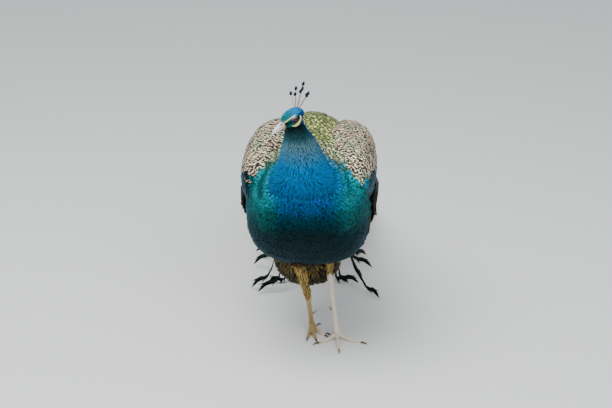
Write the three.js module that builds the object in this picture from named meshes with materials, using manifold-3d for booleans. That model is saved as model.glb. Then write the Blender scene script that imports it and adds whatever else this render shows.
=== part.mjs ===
// A life-size Indian peafowl cock, walking slowly with its head turned to its right and its train trailing.
// Millimetres, +Z up. The bird faces -Y and its left side is +X.
// Every solid keeps a thin gap to its neighbours.
import * as THREE from "three";
import { mergeVertices } from "three/addons/utils/BufferGeometryUtils.js";
import Module from "manifold-3d";

const wasm = await Module();
wasm.setup();

// ---- Driving dimensions ------------------------------------------------------------------------

const GAP = 0.4; // between neighbouring pieces
const SLIVER = 0.15; // facets flatter than this are joined after the cuts
const ANKLE_HEIGHT = 17; // centre of the foot joint above the ground
const SHANK_RADIUS = 5.6;
const TOE_RADIUS = 4.6;
const TOE_SOLE = 3; // height of a toe's centre: less than its radius, so that it stands on a small flat
const MIDDLE_TOE = 66; // each toe without its claw
const SIDE_TOE = 52;
const HIND_TOE = 24;
const CLAW = 15;
const SPUR = 17;
const SKULL_BACK = 27; // the skull behind and before the middle of the head
const SKULL_FRONT = 27;
const HEAD_WIDTH = 37;
const HEAD_HEIGHT = 43;
const BILL_LENGTH = 38;
const EYE_RADIUS = 6.2;
const CREST_HEIGHT = 65;
const CREST_QUILLS = 9;
const TAIL_LENGTH = 370;
const TRAIN_END = 1150; // from the feet to the tip of the train
const TRAIN_CUTS = [430, 790]; // where the train is parted into base, middle and end
const SWORD_WIDTH = 13;

// The standing points: the left foot is forward and the right one is about to leave the ground.
const LEFT_FOOT = new THREE.Vector3(66, -6, ANKLE_HEIGHT);
const LEFT_HOCK = new THREE.Vector3(41, 48, 153);
const LEFT_KNEE = new THREE.Vector3(58, -28, 262);
const RIGHT_FOOT = new THREE.Vector3(1, 40, ANKLE_HEIGHT);
const RIGHT_HOCK = new THREE.Vector3(2, -53, 127);
const RIGHT_KNEE = new THREE.Vector3(-24, -86, 258);

// The head's own frame: turned to the bird's right and a little down.
const HEAD_CENTRE = new THREE.Vector3(-19, -190, 609.5);
const HEAD_TURN = THREE.MathUtils.degToRad(46);
const HEAD_NOD = THREE.MathUtils.degToRad(14);

// ---- Making and cutting solids -----------------------------------------------------------------

const vec = (x, y, z) => new THREE.Vector3(x, y, z);

// A closed geometry as a solid, turned to face outwards.
function solidOf(geometry) {
  const bare = geometry.index ? geometry.toNonIndexed() : geometry.clone();
  for (const name of Object.keys(bare.attributes)) if (name !== "position") bare.deleteAttribute(name);
  const merged = mergeVertices(bare, 1e-3);
  const corners = merged.attributes.position;
  const faces = new Uint32Array(merged.index.array);
  const [a, b, c] = [vec(), vec(), vec()];
  let volume = 0;
  for (let i = 0; i < faces.length; i += 3) {
    a.fromBufferAttribute(corners, faces[i]);
    b.fromBufferAttribute(corners, faces[i + 1]);
    c.fromBufferAttribute(corners, faces[i + 2]);
    volume += a.dot(b.cross(c));
  }
  if (volume < 0)
    for (let i = 0; i < faces.length; i += 3) [faces[i], faces[i + 1]] = [faces[i + 1], faces[i]];
  return new wasm.Manifold(new wasm.Mesh({ numProp: 3, vertProperties: corners.array, triVerts: faces }));
}

// A closed skin over rings with equal counts of points, with each end closed on its own middle.
function loft(rings) {
  const sides = rings[0].length;
  const points = rings.flat();
  const faces = [];
  for (let r = 0; r + 1 < rings.length; r++)
    for (let i = 0; i < sides; i++) {
      const j = (i + 1) % sides;
      const [p, q] = [r * sides, (r + 1) * sides];
      faces.push(p + i, p + j, q + j, p + i, q + j, q + i);
    }
  for (const [first, flip] of [[0, true], [(rings.length - 1) * sides, false]]) {
    const middle = vec();
    for (let i = 0; i < sides; i++) middle.addScaledVector(points[first + i], 1 / sides);
    points.push(middle);
    for (let i = 0; i < sides; i++) {
      const [p, q] = [first + i, first + ((i + 1) % sides)];
      faces.push(...(flip ? [q, p, points.length - 1] : [p, q, points.length - 1]));
    }
  }
  return solidOf(new THREE.BufferGeometry().setFromPoints(points).setIndex(faces));
}

// Values of a short table of stations, smoothly filled in to `count` rows.
function smoothRows(rows, count) {
  const columns = rows[0].map((_, c) => rows.map((row) => row[c]));
  return Array.from({ length: count }, (_, i) => {
    const t = (i / (count - 1)) * (rows.length - 1);
    const k = Math.min(Math.floor(t), rows.length - 2);
    return columns.map((v) => {
      const before = v[Math.max(k - 1, 0)];
      const after = v[Math.min(k + 2, v.length - 1)];
      const slopes = [(v[k + 1] - before) / 2, (after - v[k]) / 2];
      return cubic(t - k, v[k], v[k + 1], ...slopes);
    });
  });
}

function cubic(t, from, to, slopeFrom, slopeTo) {
  const ease = t * t * (3 - 2 * t);
  const bow = t * (1 - t);
  return from + (to - from) * ease + bow * ((1 - t) * slopeFrom - t * slopeTo);
}

const rounded = (value, power) => Math.sign(value) * Math.abs(value) ** (2 / power);

// A ring in the plane across Y: a squared ellipse from `bottom` to `top`, `half` wide each way.
// Its upper and lower halves each have a power: 2 is an ellipse and more is squarer.
function crossRing([x, y], bottom, top, half, sides, above, below) {
  const middle = (bottom + top) / 2;
  return Array.from({ length: sides }, (_, i) => {
    const angle = (2 * Math.PI * i) / sides;
    const power = Math.sin(angle) < 0 ? below : above;
    const up = rounded(Math.sin(angle), power) * (top - middle);
    return vec(x + half * rounded(Math.cos(angle), power), y, middle + up);
  });
}

// A long shape through a few stations: [y, bottom, top, half width, how far out it lies].
// `grow` swells it, `side` mirrors it and `bend` gives the middle line's x at each y.
function barrel(stations, steps, sides, options = {}) {
  const { grow = 0, side = 1, bend = () => 0, above = 2.2, below = above } = options;
  const rings = smoothRows(stations, steps).map(([y, bottom, top, half, out = 0]) =>
    crossRing([side * out + bend(y), y], bottom - grow, top + grow, half + grow, sides, above, below),
  );
  return loft(rings);
}

// A path made longer at both ends.
function lengthened(path, by) {
  const beyond = (end, before) => end.clone().sub(before).setLength(by).add(end);
  return [beyond(path[0], path[1]), ...path.slice(1, -1), beyond(path.at(-1), path.at(-2))];
}

// A limb along a smooth path. `across` fixes which way its first radius points; radii are [across, other].
// `grow` swells it on all sides.
function limb(path, radii, sides, steps, { across = vec(1, 0, 0), grow = 0 } = {}) {
  const curve = new THREE.CatmullRomCurve3(lengthened(path, grow), false, "centripetal");
  const sizes = smoothRows(radii, steps).map((row) => row.map((radius) => radius + grow));
  return loft(
    sizes.map(([first, second], i) => {
      const t = i / (steps - 1);
      const along = curve.getTangent(t);
      const side = across.clone().addScaledVector(along, -across.dot(along)).normalize();
      const other = along.clone().cross(side);
      const centre = curve.getPoint(t);
      return Array.from({ length: sides }, (_, k) => {
        const angle = (2 * Math.PI * k) / sides;
        return centre
          .clone()
          .addScaledVector(side, first * Math.cos(angle))
          .addScaledVector(other, second * Math.sin(angle));
      });
    }),
  );
}

// All that lies on the side of a plane to which its normal points.
function halfSpace(point, normal) {
  const size = 4000;
  const box = new THREE.BoxGeometry(size, size, size).translate(0, 0, size / 2);
  box.applyQuaternion(new THREE.Quaternion().setFromUnitVectors(vec(0, 0, 1), normal.clone().normalize()));
  return solidOf(box.translate(point.x, point.y, point.z));
}

// Parts a solid by a thin cut: [what lies before the plane, what lies behind it].
function parted(solid, point, normal) {
  const step = normal.clone().setLength(GAP / 2);
  return [
    solid.intersect(halfSpace(point.clone().sub(step), normal.clone().negate())),
    solid.intersect(halfSpace(point.clone().add(step), normal)),
  ];
}

const largest = (solid) => solid.decompose().sort((a, b) => b.volume() - a.volume())[0];
const without = (solid, ...others) => largest(others.reduce((left, other) => left.subtract(other), solid));
const ground = halfSpace(vec(0, 0, 0), vec(0, 0, 1));
const onGround = (solid) => solid.intersect(ground);

// ---- Trunk, neck and head ----------------------------------------------------------------------

// [y, bottom, top, half width] from breast to tail. The belly is fuller than the back.
const TRUNK = [
  [-215, 396, 438, 28],
  [-204, 344, 474, 76],
  [-172, 288, 494, 110],
  [-118, 233, 503, 136],
  [-55, 206, 503, 147],
  [10, 198, 503, 144],
  [80, 208, 504, 134],
  [150, 244, 498, 112],
  [215, 298, 466, 80],
  [268, 346, 420, 40],
];
const TRUNK_MIDDLE = 2;

const trunkSolid = (grow = 0) =>
  barrel(TRUNK, 17, 20, { grow, bend: () => TRUNK_MIDDLE, above: 1.8, below: 2.75 });

// The fluffy underside behind the legs.
const VENT = [
  [6, 186, 240, 34],
  [36, 124, 260, 70],
  [84, 92, 280, 86],
  [136, 112, 300, 84],
  [188, 182, 330, 66],
  [238, 262, 350, 40],
];
const VENT_MIDDLE = -14;

const ventSolid = (grow = 0) => barrel(VENT, 8, 12, { grow, bend: () => VENT_MIDDLE });

const NECK_PATH = [
  vec(0, -100, 415),
  vec(0, -134, 455),
  vec(-3, -150, 500),
  vec(-8, -164, 545),
  vec(-14, -175, 586),
  vec(-12, -179, 612),
];
const NECK_RADII = [
  [82, 90],
  [72, 72],
  [56, 52],
  [41, 35],
  [24, 25],
  [13, 14],
];

const neckSolid = (grow = 0) => limb(NECK_PATH, NECK_RADII, 15, 10, { grow });

// The head's axes are forward, left and up.
const headMatrix = new THREE.Matrix4()
  .makeRotationZ(-HEAD_TURN)
  .multiply(new THREE.Matrix4().makeRotationX(HEAD_NOD))
  .multiply(new THREE.Matrix4().makeBasis(vec(0, -1, 0), vec(1, 0, 0), vec(0, 0, 1)));
headMatrix.setPosition(HEAD_CENTRE);
const inHead = (forward, left, up) => vec(forward, left, up).applyMatrix4(headMatrix);
const headDirection = (forward, left, up) => vec(forward, left, up).transformDirection(headMatrix);

function skullSolid(grow = 0) {
  const [half, tall] = [HEAD_WIDTH / 2, HEAD_HEIGHT / 2];
  const path = [
    inHead(-SKULL_BACK, 0, -7),
    inHead(-SKULL_BACK * 0.8, 0, -3.5),
    inHead(-SKULL_BACK * 0.3, 0, 0),
    inHead(7, 0, 0),
    inHead(19, 0, -2),
    inHead(SKULL_FRONT, 0, -4.5),
  ];
  const radii = [
    [half * 0.4, tall * 0.4],
    [half * 0.82, tall * 0.8],
    [half, tall],
    [half * 0.94, tall * 0.98],
    [half * 0.72, tall * 0.82],
    [half * 0.45, tall * 0.5],
  ];
  return limb(path, radii, 14, 9, { across: headDirection(0, 1, 0), grow });
}

// The two halves of the bill: the upper one is hooked over the lower.
function billSolids(grow = 0) {
  const base = SKULL_FRONT - 5;
  const options = { across: headDirection(0, 1, 0), grow };
  const upper = limb(
    [
      inHead(base, 0, -2),
      inHead(base + BILL_LENGTH * 0.45, 0, -3.6),
      inHead(base + BILL_LENGTH * 0.8, 0, -8),
      inHead(base + BILL_LENGTH, 0, -15),
    ],
    [
      [7.4, 6.4],
      [5.2, 5],
      [3.4, 3.6],
      [0.9, 1],
    ],
    10,
    7,
    options,
  );
  const lower = limb(
    [
      inHead(base, 0, -11),
      inHead(base + BILL_LENGTH * 0.5, 0, -11.6),
      inHead(base + BILL_LENGTH * 0.78, 0, -12.8),
    ],
    [
      [5.8, 3],
      [3.9, 2.4],
      [1.2, 1],
    ],
    8,
    5,
    options,
  );
  return [upper, lower];
}

function eyeSolid(side, grow = 0) {
  const eye = new THREE.SphereGeometry(EYE_RADIUS + grow, 10, 6);
  const at = inHead(3.5, side * (HEAD_WIDTH / 2 - 4.3), 2.5);
  return solidOf(eye.translate(at.x, at.y, at.z));
}

// A fan of thin quills along the crown, each with a small vane at its tip, all grown from one root.
function crestSolid() {
  const [back, top] = [-16, HEAD_HEIGHT / 2 - 3];
  const across = headDirection(0, 1, 0);
  const pad = limb(
    [inHead(back - 9, 0, top - 4.5), inHead(back, 0, top), inHead(back + 9, 0, top + 2.4)],
    [[1.4, 2], [3, 3.4], [1.4, 2]],
    6,
    4,
    { across },
  );
  const quills = Array.from({ length: CREST_QUILLS }, (_, i) => {
    const share = i / (CREST_QUILLS - 1) - 0.5;
    const lean = THREE.MathUtils.degToRad(-31 + 58 * share);
    const height = CREST_HEIGHT * (1 - 1.1 * share * share) * (i % 2 ? 0.84 : 1);
    const drift = (i % 3) - 1;
    const up = headDirection(Math.sin(lean), drift * 0.1, Math.cos(lean));
    const start = inHead(back - 2 + 12 * share, drift * 0.8, top + 4 * share - 1.5);
    const points = [0, 0.5, 0.82, 0.91, 1].map((t) => start.clone().addScaledVector(up, height * t));
    return limb(points, [[0.5, 0.5], [0.4, 0.4], [0.4, 0.6], [0.6, 3.4], [0.4, 0.7]], 4, 5, { across });
  });
  return quills.reduce((all, quill) => all.add(quill), pad);
}

// ---- Wings -------------------------------------------------------------------------------------

// A folded wing's pieces lie beside the trunk: [y, bottom, top, half width, how far out].
// The barred shoulder is a high hump along the back's side.
const SHOULDER = [
  [-116, 404, 446, 13, 114],
  [-96, 366, 478, 37, 108],
  [-48, 342, 500, 57, 98],
  [12, 340, 508, 66, 90],
  [76, 346, 510, 67, 84],
  [140, 356, 500, 58, 78],
  [202, 366, 474, 40, 66],
  [246, 390, 436, 16, 56],
];

// The dark flight feathers lie below the shoulder.
const SECONDARIES = [
  [-62, 330, 372, 8, 132],
  [-40, 308, 400, 18, 134],
  [10, 292, 412, 24, 132],
  [70, 288, 414, 24, 126],
  [140, 300, 408, 22, 110],
  [220, 322, 396, 17, 88],
  [290, 342, 380, 9, 66],
  [318, 352, 368, 4, 58],
];

// The chestnut outer ones lie lowest and reach farthest back.
const PRIMARIES = [
  [40, 276, 300, 6, 132],
  [80, 262, 318, 13, 124],
  [150, 268, 330, 15, 106],
  [230, 290, 346, 12, 84],
  [300, 316, 352, 8, 64],
  [352, 332, 350, 4, 52],
];

const shoulderSolid = (side, grow = 0) => barrel(SHOULDER, 10, 14, { side, grow, above: 2.3 });
const secondariesSolid = (side, grow = 0) => barrel(SECONDARIES, 9, 10, { side, grow, above: 2 });
const primariesSolid = (side, grow = 0) => barrel(PRIMARIES, 7, 8, { side, grow, above: 2 });

// ---- Tail and train ----------------------------------------------------------------------------

// The train lies over the tail and trails on the ground: [y, bottom, top, half width].
// Where it would reach below the ground it is cut flat.
const TRAIN = [
  [96, 470, 508, 40],
  [150, 420, 507, 68],
  [230, 362, 470, 90],
  [330, 294, 402, 106],
  [450, 216, 314, 124],
  [580, 128, 228, 140],
  [700, 56, 152, 154],
  [810, 6, 96, 163],
  [900, -14, 64, 166],
  [1000, -14, 42, 160],
  [1090, -10, 27, 136],
  [TRAIN_END - 14, -6, 17, 88],
  [TRAIN_END, -4, 10, 40],
];

// The stiff feathers under the train: a blade the shape of a closed fan.
const TAIL = [
  [205, 336, 366, 34],
  [260, 308, 334, 48],
  [360, 250, 268, 62],
  [460, 186, 198, 76],
  [540, 135, 145, 82],
  [205 + TAIL_LENGTH, 114, 122, 58],
];

// Tail and train swing in a slow bend to the bird's right.
const TRAIN_BEND = 0.105;
const trainLine = (y) => -TRAIN_BEND * Math.max(y - 60, 0);
const trainSolid = (grow = 0) => barrel(TRAIN, 18, 14, { grow, bend: trainLine, above: 1.9 });
const tailSolid = (grow = 0) => barrel(TAIL, 9, 10, { grow, bend: trainLine, above: 2.4 });

// Sword feathers: narrow blades that hang from under the train's sides and flare out near the ground.
// Each: [distance back of the root, then the bend and the tip as reach out, distance back and height].
const SWORDS = {
  right: [
    [342, [104, 268, 50], [152, 262, 5]],
    [352, [80, 262, 44], [136, 238, 4]],
    [364, [66, 320, 20], [112, 300, 4]],
    [384, [104, 380, 60], [150, 410, 6]],
    [404, [108, 440, 46], [146, 500, 6]],
  ],
  left: [
    [340, [128, 262, 34], [168, 232, 4]],
    [350, [104, 300, 66], [126, 306, 16]],
    [362, [68, 306, 38], [118, 304, 12]],
    [374, [60, 330, 26], [92, 318, 5]],
    [390, [102, 390, 56], [156, 420, 6]],
    [408, [106, 446, 44], [142, 506, 6]],
  ],
};

function swordsSolid(side, blades) {
  const place = (out, back, height) => vec(side * out + trainLine(back), back, height);
  const rootAt = (back) => place(66 + (back - 330) * 0.08, back, 304 - (back - 330) * 0.68);
  const pad = limb([rootAt(332), rootAt(374), rootAt(416)], [[3, 4], [5, 7], [3, 4]], 6, 4);
  const half = SWORD_WIDTH / 2;
  const widths = [[half * 0.5, 1.4], [half * 0.5, 1.3], [half * 0.7, 1.2], [half, 1], [0.8, 0.6]];
  const made = blades.map(([back, bend, tip]) => {
    const middle = place(70 + (back - 330) * 0.1, (back + bend[1]) / 2, 170);
    const late = place(...bend.map((v, i) => v + (tip[i] - v) * 0.6)).add(vec(0, 0, 6));
    const line = [rootAt(back), middle, place(...bend), late, place(...tip)];
    return limb(line, widths, 4, 5, { across: vec(0, 1, 0.3) });
  });
  return made.reduce((all, blade) => all.add(blade), pad);
}

// ---- Legs and feet -----------------------------------------------------------------------------

// A feathered thigh, from inside the trunk to just above the hock.
function thighSolid(hock, knee, grow = 0) {
  const end = hock.clone().lerp(knee, 0.05);
  const path = [knee, knee.clone().lerp(hock, 0.5), end];
  const radii = [[22, 26], [14.5, 17], [9, 9.5]];
  return limb(path, radii, 10, 6, { grow });
}

// The bare shank, with a thicker hock and foot joint.
function shankSolid(hock, foot, grow = 0) {
  const r = SHANK_RADIUS;
  const down = foot.clone().sub(hock);
  const at = (t) => hock.clone().addScaledVector(down, t);
  const radii = [
    [r * 1.05, r * 1.3],
    [r * 1.3, r * 1.7],
    [r, r * 1.15],
    [r * 0.95, r * 1.1],
    [r * 1.2, r * 1.2],
  ];
  return limb([at(-0.05), at(0.04), at(0.25), at(0.7), at(1)], radii, 9, 7, { grow });
}

// A foot's toes, each as [turn from straight ahead in degrees, length].
const LEFT_TOES = {
  middle: [9, MIDDLE_TOE + 4],
  outer: [70, SIDE_TOE + 12],
  inner: [-50, SIDE_TOE + 2],
  hind: [-128, HIND_TOE],
};
const RIGHT_TOES = {
  middle: [15, MIDDLE_TOE],
  outer: [-4, SIDE_TOE + 4],
  inner: [44, SIDE_TOE],
  hind: [150, HIND_TOE],
};

function toePath(foot, turn, length) {
  const angle = THREE.MathUtils.degToRad(turn);
  const ahead = vec(Math.sin(angle), -Math.cos(angle), 0);
  const at = (reach, height) => foot.clone().setZ(height).addScaledVector(ahead, reach);
  const knuckle = length === HIND_TOE ? 14 : TOE_SOLE + 3.4;
  const heights = [ANKLE_HEIGHT - 2, knuckle, TOE_SOLE + 0.2, TOE_SOLE - 0.7];
  return { ahead, at, points: heights.map((height, i) => at(length * (i / 3), height)) };
}

function footSolid(foot, toes) {
  const r = TOE_RADIUS;
  const joint = new THREE.SphereGeometry(SHANK_RADIUS * 1.35, 7, 4);
  const ball = solidOf(joint.translate(foot.x, foot.y, ANKLE_HEIGHT - 3));
  const grown = Object.values(toes).map(([turn, length]) => {
    const { ahead, points } = toePath(foot, turn, length);
    const across = vec(-ahead.y, ahead.x, 0);
    const wide = length === HIND_TOE ? 0.82 : 1;
    const radii = [[r * 1.15, r * 1.1], [r, r], [r * 0.95, r * 0.92], [r * 0.62, r * 0.6]];
    return limb(points, radii.map((row) => row.map((v) => v * wide)), 6, 4, { across });
  });
  return onGround(grown.reduce((all, toe) => all.add(toe), ball));
}

function clawSolid(foot, [turn, length], grow = 0) {
  const { at, ahead } = toePath(foot, turn, length);
  const across = vec(-ahead.y, ahead.x, 0);
  const points = [at(length - 3, 3.4), at(length + CLAW * 0.5, 4.6), at(length + CLAW, 1)];
  return onGround(limb(points, [[2.3, 2.5], [1.8, 2], [0.5, 0.6]], 5, 3, { across, grow }));
}

// The spur on the inner back of the shank.
function spurSolid(hock, foot, side, grow = 0) {
  const at = hock.clone().lerp(foot, 0.66);
  const out = vec(-side * 0.72, 0.6, 0.1).normalize();
  const rise = (t) => vec(0, 0, -1 + 4 * t * t);
  const points = [0, 0.5, 1].map((t) => at.clone().addScaledVector(out, 2 + SPUR * t).add(rise(t)));
  return limb(points, [[3, 3], [2.2, 2.2], [0.5, 0.5]], 7, 4, { across: vec(0, 0, 1), grow });
}

// ---- Putting the bird together -----------------------------------------------------------------

const COLOURS = {
  blue: [0x0b5fa8, 0.35, 0.35],
  teal: [0x0d6f74, 0.4, 0.3],
  black: [0x14201f, 0.5, 0.2],
  fluff: [0x3b342a, 0.9, 0],
  barred: [0xa08a6c, 0.7, 0],
  dark: [0x1a2028, 0.5, 0.1],
  chestnut: [0x8a4a24, 0.7, 0],
  bronze: [0x5d7a3a, 0.4, 0.4],
  brown: [0x6b5b48, 0.8, 0],
  buff: [0xb08a4c, 0.9, 0],
  leg: [0xb9a39a, 0.6, 0],
  horn: [0xcfcac4, 0.4, 0],
  claw: [0x5a5048, 0.4, 0],
  eye: [0x2a120a, 0.1, 0],
};

const bird = new THREE.Group();

function addPiece(name, solid, look) {
  const mesh = solid.simplify(SLIVER).getMesh();
  const geometry = new THREE.BufferGeometry();
  geometry.setAttribute("position", new THREE.BufferAttribute(new Float32Array(mesh.vertProperties), 3));
  geometry.setIndex(new THREE.BufferAttribute(mesh.triVerts, 1));
  geometry.computeVertexNormals();
  const [color, roughness, metalness] = COLOURS[look];
  const piece = new THREE.Mesh(geometry, new THREE.MeshStandardMaterial({ color, roughness, metalness }));
  piece.name = name;
  bird.add(piece);
}

// The body is one whole shape, parted by thin cuts.
const flesh = trunkSolid().add(neckSolid()).add(skullSolid());
const [trunkPart, headAndNeck] = parted(flesh, vec(0, -120, 490), vec(0, -0.5, 0.87));
const [neckPart, headPart] = parted(headAndNeck, inHead(-14, 0, -20), headDirection(0.25, 0, 1));
const [neckLower, neckUpper] = parted(neckPart, vec(0, -150, 535), vec(0, -0.25, 1));
const [breastPart, rearPart] = parted(trunkPart, vec(0, -62, 300), vec(0, 1, 0.12));
const grownTrunk = trunkSolid(GAP).add(neckSolid(GAP));

const [upperBill, lowerBill] = billSolids();
addPiece("head", without(headPart, eyeSolid(1, GAP), eyeSolid(-1, GAP), ...billSolids(GAP)), "blue");
addPiece("eye_left", eyeSolid(1), "eye");
addPiece("eye_right", eyeSolid(-1), "eye");
addPiece("bill_upper", upperBill, "horn");
addPiece("bill_lower", without(lowerBill, billSolids(GAP)[0]), "horn");
addPiece("crest", without(crestSolid(), skullSolid(GAP)), "blue");
addPiece("neck_upper", largest(neckUpper), "blue");
addPiece("neck_lower", largest(neckLower), "blue");

const LEGS = {
  left: { side: 1, hock: LEFT_HOCK, foot: LEFT_FOOT, knee: LEFT_KNEE, toes: LEFT_TOES },
  right: { side: -1, hock: RIGHT_HOCK, foot: RIGHT_FOOT, knee: RIGHT_KNEE, toes: RIGHT_TOES },
};

const grownThighs = Object.values(LEGS).map(({ hock, knee }) => thighSolid(hock, knee, GAP));
const grownShanks = Object.values(LEGS).map(({ hock, foot }) => shankSolid(hock, foot, GAP));
const grownWings = [1, -1].flatMap((side) => [
  shoulderSolid(side, GAP),
  secondariesSolid(side, GAP),
  primariesSolid(side, GAP),
]);

addPiece("breast", largest(breastPart), "teal");
addPiece("trunk", largest(rearPart), "black");
addPiece("vent", without(ventSolid(), grownTrunk, ...grownThighs, ...grownShanks, ...grownWings), "fluff");

for (const [name, { side }] of Object.entries(LEGS)) {
  const [grownShoulder, grownSecondaries] = [shoulderSolid(side, GAP), secondariesSolid(side, GAP)];
  const shoulder = without(shoulderSolid(side), grownTrunk);
  const secondaries = without(secondariesSolid(side), grownTrunk, grownShoulder);
  const primaries = without(primariesSolid(side), grownTrunk, grownShoulder, grownSecondaries);
  addPiece(`wing_${name}_shoulder`, shoulder, "barred");
  addPiece(`wing_${name}_secondaries`, secondaries, "dark");
  addPiece(`wing_${name}_primaries`, primaries, "chestnut");
}

addPiece("tail", without(tailSolid(), grownTrunk, ventSolid(GAP), ...grownWings), "brown");
const train = without(onGround(trainSolid()), grownTrunk, ventSolid(GAP), tailSolid(GAP), ...grownWings);
const [trainBase, trainRest] = parted(train, vec(0, TRAIN_CUTS[0], 300), vec(0, 1, -0.6));
const [trainMiddle, trainEnd] = parted(trainRest, vec(0, TRAIN_CUTS[1], 100), vec(0, 1, -0.5));
addPiece("train_base", largest(trainBase), "bronze");
addPiece("train_middle", largest(trainMiddle), "bronze");
addPiece("train_end", largest(trainEnd), "bronze");
const aroundSwords = [trainSolid(GAP), ventSolid(GAP), tailSolid(GAP), grownTrunk, ...grownWings];
for (const [name, { side }] of Object.entries(LEGS)) {
  const blades = swordsSolid(side, SWORDS[name]);
  addPiece(`sword_feathers_${name}`, without(blades, ...aroundSwords), "black");
}

for (const [name, { side, hock, foot, knee, toes }] of Object.entries(LEGS)) {
  const grownShank = shankSolid(hock, foot, GAP);
  const grownClaws = Object.values(toes).map((toe) => clawSolid(foot, toe, GAP));
  addPiece(`thigh_${name}`, without(thighSolid(hock, knee), grownTrunk, grownShank), "buff");
  addPiece(`shank_${name}`, without(shankSolid(hock, foot), spurSolid(hock, foot, side, GAP)), "leg");
  addPiece(`foot_${name}`, without(footSolid(foot, toes), grownShank, ...grownClaws), "leg");
  for (const [toe, shape] of Object.entries(toes))
    addPiece(`claw_${name}_${toe}`, largest(clawSolid(foot, shape)), "claw");
  addPiece(`spur_${name}`, spurSolid(hock, foot, side), "horn");
}

// The origin is the middle of the bird's footprint on the ground.
const box = new THREE.Box3().setFromObject(bird, true);
const centre = box.getCenter(vec());
for (const piece of bird.children) piece.geometry.translate(-centre.x, -centre.y, -box.min.z);

export default bird;
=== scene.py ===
"""The looks of a life-size walking peacock: skin, plumage, bill, eyes, legs and train.

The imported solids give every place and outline. One skin replaces the solids of flesh and lies inside
them by the depth of the coat, and closed vanes are planted on it, row over row, as feathers lie.
"""
import math

import bpy
import numpy as np
from mathutils import Matrix, Vector
from mathutils.bvhtree import BVHTree


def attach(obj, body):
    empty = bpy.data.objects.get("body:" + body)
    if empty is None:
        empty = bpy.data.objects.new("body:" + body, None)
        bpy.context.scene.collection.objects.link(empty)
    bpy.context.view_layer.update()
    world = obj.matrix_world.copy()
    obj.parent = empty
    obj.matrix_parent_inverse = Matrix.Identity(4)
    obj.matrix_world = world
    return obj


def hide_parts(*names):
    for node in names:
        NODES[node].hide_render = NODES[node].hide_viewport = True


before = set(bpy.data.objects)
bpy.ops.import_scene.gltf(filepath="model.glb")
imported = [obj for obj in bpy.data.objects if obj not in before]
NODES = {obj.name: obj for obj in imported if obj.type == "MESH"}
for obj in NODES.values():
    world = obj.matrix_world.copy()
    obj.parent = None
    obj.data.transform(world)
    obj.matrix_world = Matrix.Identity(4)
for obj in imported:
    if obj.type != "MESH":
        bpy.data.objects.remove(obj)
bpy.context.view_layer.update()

# ---- Measures: millimetres left, back and up from the ground under the breast ----------------------

MM = 0.001
START = np.array([0.0509, -0.4606, 0.0])
HEAD_MIDDLE = (-19, -190, 609.5)
HEAD_TURN = math.radians(46)
HEAD_NOD = math.radians(14)
EYE_PLACE = (3.5, 14.2, 2.5)  # forward, left and up in the head
EYE_RADIUS = 6.4
LEFT_HOCK, LEFT_FOOT = (41, 48, 153), (66, -6, 17)
RIGHT_HOCK, RIGHT_FOOT = (2, -53, 127), (1, 40, 17)
BETWEEN_LEGS = 30
TRAIN_BEND = 0.105  # the train swings to the right behind the rump

VIEW_AZIMUTH = math.radians(6)
VIEW_ELEVATION = math.radians(21)
VIEW_DISTANCE = 5.0
VIEW_LENS = 127.9
VIEW_TARGET = (-5.1, -30.7, 347.6)

SEED = 11
SIDES = ((1, "left"), (-1, "right"))
TUFT_PATCH = 0.003  # a small feather's place on its bake map
WELD_REACH = 0.02 * MM


def at(x, y, z):
    """A point of the bird, in metres, from its own measures."""
    return np.array([x, y, z], float) * MM + START


def measures(points):
    """The bird's own measures, in millimetres, of points in metres."""
    return (np.asarray(points) - START) / MM


AXES_OF_HEAD = Matrix(((0, 1, 0, 0), (-1, 0, 0, 0), (0, 0, 1, 0), (0, 0, 0, 1)))
HEAD = (
    Matrix.Translation(at(*HEAD_MIDDLE))
    @ Matrix.Rotation(-HEAD_TURN, 4, "Z")
    @ Matrix.Rotation(HEAD_NOD, 4, "X")
    @ AXES_OF_HEAD
)
HEAD_TURNED = np.array(HEAD.to_3x3())


def in_head(forward, left, up):
    """A point of the head, in metres, from millimetres forward, left and up of its middle."""
    return HEAD_TURNED @ (np.array([forward, left, up], float) * MM) + at(*HEAD_MIDDLE)


def head_measures(points):
    """Millimetres forward, left and up of the head's middle, of points in metres."""
    return (np.asarray(points) - at(*HEAD_MIDDLE)) @ HEAD_TURNED / MM


def train_line(y):
    """How far left the train's middle lies at a distance back."""
    return -TRAIN_BEND * np.maximum(np.asarray(y, float) - 60, 0)


def smoothstep(low, high, value):
    """From 0 at low to 1 at high, eased at both ends."""
    share = np.clip((np.asarray(value, float) - low) / (high - low), 0, 1)
    return share * share * (3 - 2 * share)


def unit(rows):
    """Each row as a direction."""
    rows = np.asarray(rows, float)
    return rows / np.maximum(np.linalg.norm(rows, axis=-1, keepdims=True), 1e-12)


# ---- Colours ---------------------------------------------------------------------------------------


def paint(code):
    """A colour from its usual six-figure code, as the renderer's linear values."""
    parts = np.array([int(code[i : i + 2], 16) for i in (0, 2, 4)]) / 255
    return np.where(parts > 0.04045, ((parts + 0.055) / 1.055) ** 2.4, parts / 12.92)


CROWN_BLUE = paint("30b8fa")
CROWN_TEAL = paint("12aebc")
CHIN_BLACK = paint("06100f")
NAPE_BLUE = paint("2558a8")
CHEEK_TEAL = paint("0d9a94")
EAR_DARK = paint("0b2f4a")
SHOULDER_CYAN = paint("02aab4")
SHOULDER_GREEN = paint("01544c")
# The belly's own near-black, deepened as painted shade under the body.
BELLY_BLACK_AND_SHADE = paint("080a09")
MANTLE_GOLD = paint("e8ec90")
MANTLE_CREAM = paint("fbfdd0")
RUMP_GREEN = paint("6f9a3c")
WING_CREAM = paint("fff2c4")
WING_BROWN = paint("8c5f42")
WING_PINK = paint("d8a08c")
WING_GREEN = paint("7fb892")
VENT_BROWN = paint("4c4632")
VENT_GOLD = paint("8f7434")
THIGH_BUFF = paint("c2a25e")
THIGH_DARK = paint("746238")
SKIN_PALE = paint("f2e08a")
LEG_PINK = paint("fdeed8")
# The same scales, browned and darkened as painted shade on the leg behind.
LEG_SHADED_BROWN = paint("b89c68")
SCALE_GREEN = paint("c1d586")
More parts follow.
